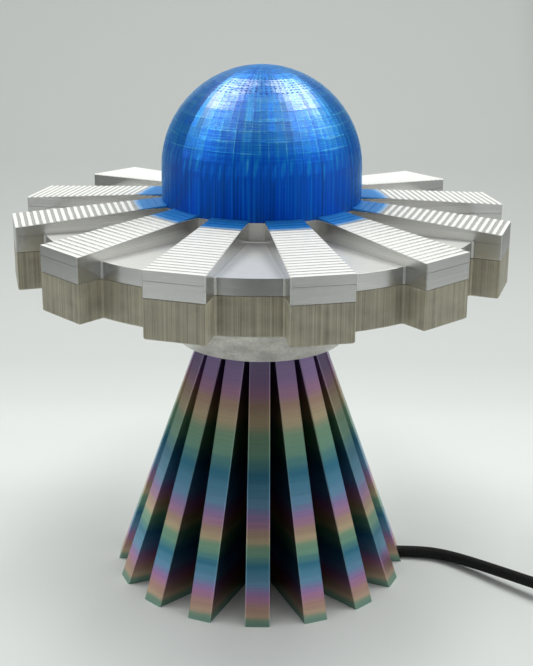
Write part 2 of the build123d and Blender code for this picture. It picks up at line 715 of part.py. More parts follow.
def cord_run():
    start = switch_spot(SWITCH_CORD_END)
    leaving = switch_spot(SWITCH_CORD_END + SWITCH_STRAIGHT)
    arriving = COIL_ENTRY - COIL_STATIONS[0][1] * COIL_STRAIGHT
    return cord("cord_run", [start, leaving, *RUN_POINTS, arriving, COIL_ENTRY])


def cord_tail():
    end = Vector(*PLUG_START, PLUG_HEIGHT)
    leaving = COIL_LEAVE + COIL_STATIONS[-1][1] * PLUG_STRAIGHT
    arriving = end - heading_vector(PLUG_HEADING) * PLUG_STRAIGHT
    return cord("cord_tail", [COIL_LEAVE, leaving, arriving, end])


# Cord switch, modelled along +X about its centre and then laid on its heading
def on_switch(solid):
    return Pos(*SWITCH_CENTRE, 0) * turned(solid, SWITCH_HEADING)


def switch_box(inset, bottom, top):
    outline = SlotOverall(SWITCH_LENGTH - 2 * inset, SWITCH_WIDTH - 2 * inset)
    return extrude(Plane.XY.offset(bottom) * outline, top - bottom)


def switch_cord_holes():
    hole = Cylinder(CORD_RADIUS + CORD_CLEARANCE, SWITCH_LENGTH)
    return Pos(0, 0, SWITCH_HALF_HEIGHT) * Rot(0, 90, 0) * hole


def screw_places():
    x, y = SWITCH_SCREW_PLACE
    return [(x, y), (-x, -y)]


def switch_lower_case():
    case = switch_box(0, 0, SWITCH_HALF_HEIGHT)
    case = fillet(case.edges().group_by(Axis.Z)[0], SWITCH_EDGE_ROUND)
    case = case - switch_box(SWITCH_WALL, SWITCH_WALL, SWITCH_HALF_HEIGHT)
    for x, y in screw_places():
        case = case + rod(SWITCH_SCREW_POST_RADIUS, SWITCH_WALL, SWITCH_HALF_HEIGHT, x, y)
    for x, y in screw_places():
        case = case - rod(SWITCH_SCREW_RADIUS + SCREW_CLEARANCE, 0, SWITCH_HALF_HEIGHT, x, y)
        case = case - rod(SWITCH_SCREW_HEAD_RADIUS + SCREW_CLEARANCE, 0, SWITCH_SCREW_HEAD, x, y)
    return on_switch(case - switch_cord_holes())


def pivot_ear(side):
    """A plate that hangs from the roof beside the rocker and carries its pivot."""
    half_slot = ROCKER_WIDTH / 2 + ROCKER_SLOT_GAP / 2
    roof = SWITCH_HEIGHT - SWITCH_WALL
    round_end = Pos(0, 0, PIVOT_HEIGHT) * Rot(90, 0, 0) * Cylinder(PIVOT_EAR_RADIUS, PIVOT_EAR_THICKNESS)
    block = Pos(0, 0, (PIVOT_HEIGHT + roof) / 2) * Box(
        2 * PIVOT_EAR_RADIUS, PIVOT_EAR_THICKNESS, roof - PIVOT_HEIGHT + SWITCH_WALL
    )
    below_roof = Pos(0, 0, roof) * Box(
        SWITCH_LENGTH, SWITCH_WIDTH, SWITCH_HEIGHT, align=(Align.CENTER, Align.CENTER, Align.MIN)
    )
    ear = (round_end + block) - below_roof
    return Pos(0, side * (half_slot + PIVOT_EAR_THICKNESS / 2), 0) * ear


def switch_upper_case():
    case = switch_box(0, SWITCH_HALF_HEIGHT, SWITCH_HEIGHT)
    case = fillet(case.edges().group_by(Axis.Z)[-1], SWITCH_EDGE_ROUND)
    case = case - switch_box(SWITCH_WALL, SWITCH_HALF_HEIGHT, SWITCH_HEIGHT - SWITCH_WALL)
    for x, y in screw_places():
        case = case + rod(SWITCH_SCREW_POST_RADIUS, SWITCH_HALF_HEIGHT, SWITCH_HEIGHT - SWITCH_WALL, x, y)
    for x, y in screw_places():
        pilot = SWITCH_SCREW_RADIUS + THREAD_CLEARANCE
        case = case - rod(pilot, SWITCH_HALF_HEIGHT, SWITCH_HEIGHT - 2 * SWITCH_WALL, x, y)
    case = case + [pivot_ear(-1), pivot_ear(1)]
    bore = Cylinder(ROCKER_PIVOT_RADIUS + PIVOT_CLEARANCE, SWITCH_WIDTH / 2 + ROCKER_WIDTH / 2)
    case = case - Pos(0, 0, PIVOT_HEIGHT) * Rot(90, 0, 0) * bore
    slot = Box(ROCKER_LENGTH + ROCKER_SLOT_GAP, ROCKER_WIDTH + ROCKER_SLOT_GAP, SWITCH_HEIGHT)
    case = case - Pos(0, 0, SWITCH_HEIGHT) * slot
    return on_switch(case - switch_cord_holes())


def switch_screws():
    screws = []
    for x, y in screw_places():
        shank = rod(SWITCH_SCREW_RADIUS, SWITCH_SCREW_HEAD, SWITCH_HEIGHT - 3 * SWITCH_WALL, x, y)
        head = rod(SWITCH_SCREW_HEAD_RADIUS, SWITCH_SCREW_HEAD / 4, SWITCH_SCREW_HEAD, x, y)
        screws.append(on_switch(shank + head))
    return Compound(children=screws)


def switch_rocker():
    """A see-saw with two flat wings, tilted onto its stop, on two pivot stubs."""
    half = ROCKER_LENGTH / 2
    wing = half * math.tan(math.radians(ROCKER_TILT))
    crest = SWITCH_HEIGHT - PIVOT_HEIGHT + ROCKER_STAND - wing
    corners = [
        (-half, crest + wing),
        (0, crest),
        (half, crest + wing),
        (half - ROCKER_DEPTH, -ROCKER_DEPTH / 2),
        (0, -ROCKER_DEPTH),
        (ROCKER_DEPTH - half, -ROCKER_DEPTH / 2),
    ]
    body = extrude(Plane.XZ * Polygon(*corners, align=None), ROCKER_WIDTH / 2, both=True)
    stubs = Rot(90, 0, 0) * Cylinder(ROCKER_PIVOT_RADIUS, ROCKER_WIDTH + 2 * ROCKER_PIVOT_LENGTH)
    rocker = Rot(0, ROCKER_TILT, 0) * (body + stubs)
    return on_switch(Pos(0, 0, PIVOT_HEIGHT) * rocker)


def switch_contacts():
    """Two bent strips on the floor of the lower case."""
    length, width, thickness = CONTACT_STRIP
    near = CONTACT_STRIP_PLACE
    floor = SWITCH_WALL
    corners = [
        (near - thickness, floor),
        (near + length, floor),
        (near + length, floor + thickness),
        (near, floor + thickness),
        (near, floor + CONTACT_STRIP_RISE),
        (near - thickness, floor + CONTACT_STRIP_RISE),
    ]
    strip = extrude(Plane.XZ * Polygon(*corners, align=None), width / 2, both=True)
    return Compound(children=[on_switch(strip), on_switch(turned(strip, 180))])


def switch_cord_grips():
    """Two saddles on the floor of the lower case, under the ends of the cord."""
    centre = SWITCH_CORD_END + CORD_GRIP_LENGTH / 2
    height = SWITCH_HALF_HEIGHT - SWITCH_WALL
    block = Pos(centre, 0, SWITCH_WALL + height / 2) * Box(CORD_GRIP_LENGTH, CORD_GRIP_WIDTH, height)
    saddle = block - switch_cord_holes()
    return Compound(children=[on_switch(saddle), on_switch(turned(saddle, 180))])


# Plug, modelled along +X from the end of the cord and then laid on its heading
def on_plug(solid):
    return Pos(*PLUG_START, PLUG_HEIGHT) * turned(solid, PLUG_HEADING)


def plug_strain_relief():
    cone = Cone(
        PLUG_RELIEF_RADIUS, PLUG_NECK_RADIUS, PLUG_RELIEF_LENGTH, align=(Align.CENTER, Align.CENTER, Align.MIN)
    )
    return on_plug(Rot(0, 90, 0) * cone)


def plug_body():
    back = PLUG_RELIEF_LENGTH
    front = back + PLUG_LENGTH
    neck = PLUG_NECK_WIDTH / 2
    face = PLUG_FACE_WIDTH / 2
    corners = [
        (back, -neck),
        (back + PLUG_SHOULDER, -face),
        (front, -face),
        (front, face),
        (back + PLUG_SHOULDER, face),
        (back, neck),
    ]
    body = extrude(Polygon(*corners, align=None), PLUG_THICKNESS / 2, both=True)
    rims = body.edges().group_by(Axis.Z)
    return on_plug(fillet(rims[0] + rims[-1], PLUG_EDGE_ROUND))


def plug_pins():
    start = PLUG_RELIEF_LENGTH + PLUG_LENGTH
    foot = (Align.CENTER, Align.CENTER, Align.MIN)
    shaft = Cylinder(PIN_RADIUS, PIN_LENGTH - PIN_TIP, align=foot)
    tip = Pos(0, 0, PIN_LENGTH - PIN_TIP) * Cone(PIN_RADIUS, PIN_RADIUS / 2, PIN_TIP, align=foot)
    pin = Rot(0, 90, 0) * (shaft + tip)
    return Compound(children=[on_plug(Pos(start, side * PIN_SPACING / 2, 0) * pin) for side in (-1, 1)])


NODES = [
    beam_base,
    neck_collar,
    saucer_lower,
    tray_screws,
    saucer_upper,
    dome,
    threaded_nipple,
    nipple_washer,
    nipple_nut,
    cord_grip,
    cord_grip_screw,
    lampholder_cap,
    lampholder_shell,
    lampholder_insert,
    screw_shell_contact,
    centre_contact,
    terminal_screws,
    lamp_wires,
    bulb_foot_contact,
    bulb_foot_insulator,
    bulb_screw_cap,
    bulb_housing,
    led_board,
    led_chips,
    bulb_globe,
    cord_inside,
    cord_lead,
    cord_run,
    cord_coil,
    coil_tie,
    cord_tail,
    switch_lower_case,
    switch_upper_case,
    switch_screws,
    switch_rocker,
    switch_contacts,
    switch_cord_grips,
    plug_strain_relief,
    plug_body,
    plug_pins,
]

os.makedirs("parts", exist_ok=True)
for make in NODES:
    export_step(make(), f"parts/{make.__name__}.step")
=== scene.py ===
"""A table lamp: a printed flying saucer with a blue dome, hovering on a finned beam of light."""

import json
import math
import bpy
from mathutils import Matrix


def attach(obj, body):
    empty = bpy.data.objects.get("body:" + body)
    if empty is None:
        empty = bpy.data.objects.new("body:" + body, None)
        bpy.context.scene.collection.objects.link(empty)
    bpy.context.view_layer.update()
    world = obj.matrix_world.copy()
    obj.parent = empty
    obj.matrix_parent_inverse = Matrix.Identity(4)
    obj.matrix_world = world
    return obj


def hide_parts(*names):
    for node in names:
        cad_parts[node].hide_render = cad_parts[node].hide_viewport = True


bl_info = {
    "name": "Saucer lamp",
    "version": (1, 0, 0),
    "blender": (4, 5, 0),
    "location": "View3D > Sidebar > Lamp",
    "description": "Dresses the packed saucer lamp in its printed surfaces and sets the stage",
    "category": "Object",
}

import bpy
import numpy as np
from bpy.props import FloatProperty, FloatVectorProperty, IntProperty, PointerProperty
from mathutils import Matrix, Vector

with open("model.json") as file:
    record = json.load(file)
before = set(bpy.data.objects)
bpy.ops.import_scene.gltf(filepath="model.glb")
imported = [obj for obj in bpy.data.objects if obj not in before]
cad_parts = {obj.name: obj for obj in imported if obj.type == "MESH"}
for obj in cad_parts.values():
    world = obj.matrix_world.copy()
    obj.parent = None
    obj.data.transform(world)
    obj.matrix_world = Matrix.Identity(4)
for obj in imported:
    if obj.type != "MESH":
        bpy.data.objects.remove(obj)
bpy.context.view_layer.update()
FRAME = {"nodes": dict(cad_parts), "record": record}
MM = 0.001


def length(name, description, default):
    """A length property whose default is given in millimetres."""
    return FloatProperty(name=name, description=description, default=default * MM, unit="LENGTH")


def colour(name, description, default):
    """A colour property in linear light."""
    return FloatVectorProperty(
        name=name, description=description, default=default, subtype="COLOR", min=0.0, max=1.0
    )


class LampBaseSizes(bpy.types.PropertyGroup):
    """Sizes of the finned base and the collar."""

    fins: IntProperty(name="Fins", description="Number of upright fins", default=16)
    height: length("Height", "Height of the fins", 129.2)
    foot_radius: length("Foot radius", "Distance of a fin's lower end from the axis", 77.9)
    top_radius: length("Top radius", "Distance of a fin's upper end from the axis", 32.0)
    foot_width: length("Foot width", "Thickness of a fin at the floor", 12.5)
    top_width: length("Top width", "Thickness of a fin under the collar", 10.3)
    core_radius: length("Core radius", "Radius of the tube between the fins", 25.0)
    bore_radius: length("Bore radius", "Radius of the hole up the middle", 22.0)
    slot_width: length("Slot width", "Width of the cord's slot under one fin", 6.6)
    collar_foot: length("Collar foot", "Radius of the collar's lower rim", 43.2)
    collar_top: length("Collar top", "Radius of the collar under the saucer", 79.0)


class LampSaucerSizes(bpy.types.PropertyGroup):
    """Sizes of the saucer's two halves and the dome."""

    arms: IntProperty(name="Arms", description="Number of arms round the saucer", default=12)
    turn: FloatProperty(
        name="Turn",
        description="Turn of the arms about the axis",
        default=math.radians(-1.7),
        subtype="ANGLE",
    )
    tip_radius: length("Tip radius", "Distance of an arm's end from the axis", 125.0)
    tip_width: length("Tip width", "Width of an arm at its end", 29.6)
    root_width: length("Root width", "Width of an arm at the dome", 18.8)
    disc_radius: length("Disc radius", "Radius of the disc between the arms", 111.6)
    dome_radius: length("Dome radius", "Radius of the dome", 50.75)
    dome_centre: length("Dome centre", "Height of the dome's centre", 219.3)
    tray_bottom: length("Tray bottom", "Height of the saucer's underside", 165.4)
    parting: length("Parting", "Height where the two halves meet", 184.3)
    valley: length("Valley", "Height of the disc between the arms", 192.6)
    tip_top: length("Tip top", "Height of an arm's top at its end", 197.1)
    arm_rise: length("Arm rise", "Rise of an arm's top from its end to the dome", 6.2)
    colour_change: length("Colour change", "Height where silver turns to blue", 202.2)
    wall: length("Wall", "Wall of the upper half", 2.4)
    layer: length("Layer", "Height of one printed layer", 0.28)
    strips: IntProperty(name="Strips", description="Flat strips round the dome", default=72)
    bands: IntProperty(name="Bands", description="Flat bands from the dome's rim to its crown", default=15)


class LampColours(bpy.types.PropertyGroup):
    """Colours of the finishes."""

    silver: colour("Silver", "Silver print", (0.80, 0.80, 0.78))
    blue: colour("Blue", "Blue print", (0.0, 0.078, 0.74))
    clear: colour("Clear", "Clear print", (0.375, 0.352, 0.265))
    braid: colour("Braid", "Braided cord", (0.007, 0.007, 0.0075))
    stage: colour("Stage", "Floor and backdrop", (0.892, 0.925, 0.926))


def grid_quads(rows, columns, wrap_rows, wrap_columns):
    """Quads between neighbouring rows and columns of a grid, wrapped round where it closes."""
    r = np.arange(rows if wrap_rows else rows - 1)
    c = np.arange(columns if wrap_columns else columns - 1)
    r, c = (a.ravel() for a in np.meshgrid(r, c, indexing="ij"))
    r1, c1 = (r + 1) % rows, (c + 1) % columns
    return np.stack([r * columns + c, r * columns + c1, r1 * columns + c1, r1 * columns + c], axis=1)


class Shell:
    """A stretch of surface: a grid of points with its quads, end faces, material index and UV. A tube
    closes round its columns, and a closed shell round its rows as well."""

    def __init__(self, points, closed=False, tube=False, material=0, ends=(), uv=None):
        points = np.asarray(points, float)
        rows, columns = points.shape[:2]
        self.points = points.reshape(-1, 3)
        self.faces = grid_quads(rows, columns, closed, closed or tube).tolist()
        if "first" in ends:
            self.faces.append(list(range(columns - 1, -1, -1)))
        if "last" in ends:
            self.faces.append(list(range((rows - 1) * columns, rows * columns)))
        self.material = np.full(len(self.faces), material)
        self.uv = np.zeros((len(self.points), 2)) if uv is None else np.asarray(uv, float).reshape(-1, 2)


def shell_mesh(name, shells, materials):
    """A smooth mesh from shells, in metres, with their UV and materials."""
    offsets = np.cumsum([0] + [len(s.points) for s in shells])
    points = np.concatenate([s.points for s in shells])
    faces = [[i + int(o) for i in face] for s, o in zip(shells, offsets) for face in s.faces]
    mesh = bpy.data.meshes.new(name)
    mesh.from_pydata(points.tolist(), [], faces)
    indices = np.concatenate([s.material for s in shells]).astype(np.int32)
    mesh.polygons.foreach_set("material_index", indices)
    corners = np.zeros(len(mesh.loops), np.int32)
    mesh.loops.foreach_get("vertex_index", corners)
    uv = np.concatenate([s.uv for s in shells])[corners]
    mesh.uv_layers.new(name="UVMap").data.foreach_set("uv", uv.astype(np.float32).ravel())
    mesh.shade_smooth()
    for finish in materials:
        mesh.materials.append(finish)
    return mesh


def new_object(name, data):
    """An object in the scene for some data."""
    obj = bpy.data.objects.new(name, data)
    bpy.context.scene.collection.objects.link(obj)
    return obj


def piece(name, shells, body, materials, replaced, sharp=30.0):
    """One object from shells, riding on a body and standing for CAD nodes."""
    mesh = shell_mesh(name, shells, materials)
    mesh.set_sharp_from_angle(angle=math.radians(sharp))
    obj = new_object(name, mesh)
    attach(obj, body)
    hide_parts(*replaced)


def dress(name, finish):
    """Gives a CAD node its finish."""
    materials = FRAME["nodes"][name].data.materials
    materials.clear()
    materials.append(finish)


def turned(points, angle):
    """Points turned about the lamp's axis by an angle in radians, in whatever shape they come."""
    c, s = math.cos(angle), math.sin(angle)
    return np.asarray(points) @ np.array([[c, s, 0], [-s, c, 0], [0, 0, 1]])


def revolved(profile, segments=128):
    """A profile of (radius, height) points carried once round the lamp's axis."""
    profile = np.asarray(profile, float)
    angle = np.linspace(0, 2 * math.pi, segments, endpoint=False)
    r, z = profile[:, :1], profile[:, 1:]
    return np.stack([r * np.cos(angle), r * np.sin(angle), z + 0 * angle], axis=2)


def sections(*points):
    """A grid whose rows are stations and whose columns are the given (x, y, z) arrays."""
    return np.stack([np.column_stack(np.broadcast_arrays(*p)) for p in points], axis=1)


class Value:
    """A value in a shader tree, to reckon with as with a plain number."""

    def __init__(self, socket):
        self.socket = socket
        self.tree = socket.id_data

    def math(self, operation, *others):
        """The result of a math node on this value and others."""
        return out(feed(node(self.tree, "ShaderNodeMath", operation=operation), self, *others))

    def __add__(self, other):
        return self.math("ADD", other)

    def __sub__(self, other):
        return self.math("SUBTRACT", other)

    def __mul__(self, other):
        return self.math("MULTIPLY", other)

    def __truediv__(self, other):
        return self.math("DIVIDE", other)


def node(tree, kind, **settings):
    """A new node with its own settings."""
    made = tree.nodes.new(kind)
    for key, value in settings.items():
        setattr(made, key, value)
    return made


def out(made, key=0):
    """One of a node's outputs."""
    return Value(made.outputs[key])


def plug(socket, value):
    """Links a socket to a value, or sets it to a number."""
    if isinstance(value, Value):
        value.tree.links.new(value.socket, socket)
    else:
        socket.default_value = value


def feed(made, *places, **names):
    """Plugs a node's inputs by place or by name, with spaces written as underscores."""
    for socket, value in zip(made.inputs, places):
        plug(socket, value)
    for key, value in names.items():
        plug(made.inputs[key.replace("_", " ")], value)
    return made


def xyz(x, y, z=0.0):
    """A vector from three values."""
    return out(feed(node(x.tree, "ShaderNodeCombineXYZ"), x, y, z))


def parts(vector):
    """A vector's three values."""
    return [Value(o) for o in feed(node(vector.tree, "ShaderNodeSeparateXYZ"), vector).outputs]


def place(tree):
    """The place on the object, in metres."""
    return out(node(tree, "ShaderNodeTexCoord"), "Object")


def unrolled(tree):
    """The place on the unrolled surface."""
    return out(node(tree, "ShaderNodeUVMap", uv_map="UVMap"))


def step(value, low, high, to_low=0.0, to_high=1.0):
    """A smooth rise from one level to another while the value goes from low to high."""
    made = node(value.tree, "ShaderNodeMapRange", interpolation_type="SMOOTHSTEP")
    return out(feed(made, value, low, high, to_low, to_high))


def fall(value, low, high):
    """A smooth fall from one to zero while the value goes from low to high."""
    return step(value, low, high, 1.0, 0.0)


def ramp(value, stops, interpolation="LINEAR"):
    """A colour ramp with (place, colour) stops."""
    made = node(value.tree, "ShaderNodeValToRGB")
    made.color_ramp.interpolation = interpolation
    elements = made.color_ramp.elements
    while len(elements) < len(stops):
        elements.new(1.0)
    for element, (at, shade) in zip(elements, stops):
        element.position = at
        element.color = (*shade, 1.0)
    return out(feed(made, value))


def mixed(factor, a, b, blend="MIX"):
    """Two colours mixed by a factor."""
    tree = next(v.tree for v in (factor, a, b) if isinstance(v, Value))
    made = node(tree, "ShaderNodeMix", data_type="RGBA", blend_type=blend)
    for index, value in ((0, factor), (6, a), (7, b)):
        plug(made.inputs[index], (*value, 1.0) if isinstance(value, tuple) else value)
    return out(made, 2)


def dimmed(shade, level):
    """A colour times a level."""
    return mixed(1.0, shade, xyz(level, level, level), "MULTIPLY")


def noise(vector, scale, detail=2.0):
    """Noise on coordinates that are scaled differently along each axis."""
    stretched = feed(node(vector.tree, "ShaderNodeVectorMath", operation="MULTIPLY"), vector, scale)
    made = node(vector.tree, "ShaderNodeTexNoise")
    return out(feed(made, Vector=out(stretched), Scale=1.0, Detail=detail))


def swing(vector, scale, detail=2.0):
    """Noise that swings about zero."""
    return noise(vector, scale, detail) - 0.5


def chance(x, y):
    """A random value about zero for each whole pair of numbers."""
    corner = [v.math("FLOOR") if isinstance(v, Value) else v for v in (x, y)]
    made = node(x.tree, "ShaderNodeTexWhiteNoise", noise_dimensions="2D")
    return out(feed(made, Vector=xyz(*corner)), "Value") - 0.5


def near_whole(value):
    """Distance of a value from the nearest whole number."""
    return value.math("PINGPONG", 0.5)


def tint(shade, factor):
    """A colour made lighter or darker."""
    return tuple(min(1.0, factor * c) for c in shade)


def new_group(name, inputs, outputs, kind="NodeSocketFloat"):
    """An empty shader group with value inputs and named outputs: its tree, inputs and end node."""
    group = bpy.data.node_groups.new(name, "ShaderNodeTree")
    for label, default in inputs:
        socket = group.interface.new_socket(label, in_out="INPUT", socket_type="NodeSocketFloat")
        socket.default_value = default
    for label in outputs:
        group.interface.new_socket(label, in_out="OUTPUT", socket_type=kind)
    start = node(group, "NodeGroupInput")
    return group, {label: out(start, label) for label, _ in inputs}, node(group, "NodeGroupOutput")


def use_group(tree, name, **values):
    """The outputs of a shared group by name, with its inputs plugged."""
    made = feed(node(tree, "ShaderNodeGroup", node_tree=bpy.data.node_groups[name]), **values)
    return {o.name: Value(o) for o in made.outputs}


def print_lines_group():
    """Layer lines: a rounded ridge per layer along Z, with each layer a little different."""
    group, given, result = new_group("print_lines", [("Layer", 0.00028)], ["Height", "Shade"])
    spot = place(group)
    ridge = (parts(spot)[2] / given["Layer"] * (2 * math.pi)).math("SINE")
    wander = noise(spot, (25, 25, 2400))
    feed(result, Height=ridge * 0.3 + wander, Shade=wander)


def print_streaks_group():
    """Upright streaks: noise that is fine across the surface and long along Z."""
    group, given, result = new_group("print_streaks", [("Fine", 900.0), ("Long", 14.0)], ["Fine", "Broad"])
    spot = place(group)
    for label, share in (("Fine", 1.0), ("Broad", 0.28)):
        across = given["Fine"] * share
        feed(result, **{label: noise(spot, xyz(across, across, given["Long"]), 3.0)})


def polar_group():
    """Place about the lamp's axis: the turn as a share of a circle, how far it points sideways, and
    the rise on the dome as a share of the way from its rim (0) to its crown (1)."""
    group, given, result = new_group("polar", [("Centre", 0.2193)], ["Turn", "Side", "Rise"])
    x, y, z = parts(place(group))
    reach = (x * x + y * y).math("SQRT")
    turn = y.math("ARCTAN2", x) / (2 * math.pi)
    rise = (z - given["Centre"]).math("ARCTAN2", reach) / (math.pi / 2)
    feed(result, Turn=turn, Side=(x / reach).math("ABSOLUTE"), Rise=rise)


SHIFT_COLOURS = [
    (0.00, (0.22, 0.40, 0.29)),
    (0.035, (0.24, 0.41, 0.28)),
    (0.12, (0.56, 0.46, 0.30)),
    (0.21, (0.50, 0.345, 0.265)),
    (0.31, (0.47, 0.27, 0.41)),
    (0.40, (0.36, 0.25, 0.47)),
    (0.47, (0.25, 0.29, 0.50)),
    (0.54, (0.17, 0.34, 0.51)),
    (0.65, (0.11, 0.30, 0.44)),
    (0.76, (0.06, 0.23, 0.34)),
    (0.88, (0.12, 0.31, 0.31)),
    (0.965, (0.21, 0.40, 0.30)),
    (1.00, (0.22, 0.40, 0.29)),
]
# How many rounds of the colours lie below each share of the base's height
SHIFT_ROUNDS = [
    (0.00, -0.04),
    (0.05, 0.16),
    (0.10, 0.30),
    (0.153, 0.53),
    (0.207, 0.71),
    (0.26, 0.955),
    (0.34, 1.20),
    (0.45, 1.55),
    (0.55, 1.75),
    (0.645, 2.00),
    (0.70, 2.05),
    (0.80, 2.19),
    (0.87, 2.34),
    (0.92, 2.41),
    (1.00, 2.43),
]
# Where the rounds start, and how many there are in all
SHIFT_START = -0.1
SHIFT_SPAN = 2.6


def colour_shift_group():
    """Colour-shifting silk: rounds of the same colours, gone through more and more slowly with height, and
    painted darker towards the top as painted shade under the saucer.
    """
    group, given, result = new_group("colour_shift", [("Height", 0.1292)], ["Color"], "NodeSocketColor")
    spot = place(group)
    t = parts(spot)[2] / given["Height"] + swing(spot, (30, 30, 30)) * 0.02
    rounds = ramp(t, [(share, ((count - SHIFT_START) / SHIFT_SPAN,) * 3) for share, count in SHIFT_ROUNDS])
    count = (rounds * SHIFT_SPAN + (1 + SHIFT_START)).math("FRACT")
    # Painted shade: the colours darken from the foot of the fins to their top, under the saucer
    dim = t * -0.40 + 1.35
    pink = dim * step(t, 0.09, 0.15, 0.90, 1.0)
    shade = ramp(count, SHIFT_COLOURS, "EASE")
    feed(result, Color=mixed(1.0, shade, xyz(dim, pink, dim), "MULTIPLY"))


def material(name, **settings):
    """A Principled material; settings are plain values of the shader's own sockets."""
    made = bpy.data.materials.new(name)
    made.use_nodes = True
    tree = made.node_tree
    return made, tree, feed(tree.nodes["Principled BSDF"], **settings)


def bump(shader, height, strength, distance):
    """Small relief from a height."""
    made = node(shader.id_data, "ShaderNodeBump")
    feed(shader, Normal=out(feed(made, Height=height, Strength=strength, Distance=distance)))


# Strength and depth of the layer lines
LAYER_RELIEF = (0.2, 0.00008)


def silver_wall(colours):
    """Silver silk on upright walls: layer lines that shade and ripple the metal-like surface."""
    made, tree, shader = material("silver_wall", Metallic=0.95, Roughness=0.22)
    lines = use_group(tree, "print_lines")
    base = tint(colours.silver, 0.87)
    feed(shader, Base_Color=ramp(lines["Shade"], [(0.3, tint(base, 0.86)), (0.7, base)]))
    bump(shader, lines["Height"], *LAYER_RELIEF)
    return made


def silver_edge(colours):
    """Silver silk on the narrow edges of corners, where the walls are laid smoother and brighter."""
    made, tree, shader = material("silver_edge", Metallic=0.7, Roughness=0.4)
    lines = use_group(tree, "print_lines")
    base = tint(colours.silver, 0.9)
    feed(shader, Base_Color=ramp(lines["Shade"], [(0.3, tint(base, 0.8)), (0.7, base)]))
    return made


def silver_tread(colours):
    """Silver silk on the arms' tops: each exposed layer is bright at its outer edge and has a duller
    fill of fine lines behind. The fill is painted wider and darker on the arms that point sideways, a
    painted shade for how its lines reflect the light."""
    made, tree, shader = material("silver_tread", Metallic=0.12, Roughness=0.45)
    spot = unrolled(tree)
    side = use_group(tree, "polar")["Side"]
    phase = (parts(spot)[0] + swing(spot, (2.3, 0.9, 1.0), 3.0) * 0.22).math("FRACT")
    fill = step(phase - step(side, 0.45, 0.97, 0.76, 0.50), 0.0, 0.03)
    fine = step(near_whole(phase * 6.0), 0.1, 0.4, 0.45, 1.0)
    # Painted shade: the fill is darker on the arms that point sideways
    fill_lines_and_painted_shade = fill * fine * step(side, 0.55, 0.97, 0.22, 0.90)
    feed(shader, Base_Color=mixed(fill_lines_and_painted_shade, tint(colours.silver, 1.02), tint(colours.silver, 0.18)))
    return made


def silver_floor(colours):
    """Silver silk on level floors: smooth, with a faint fan of print lines."""
    made, tree, shader = material("silver_floor", Metallic=0.45, Roughness=0.34)
    wander = noise(place(tree), (260, 900, 60), 3.0)
    feed(shader, Base_Color=ramp(wander, [(0.3, tint(colours.silver, 0.94)), (0.7, colours.silver)]))
    return made


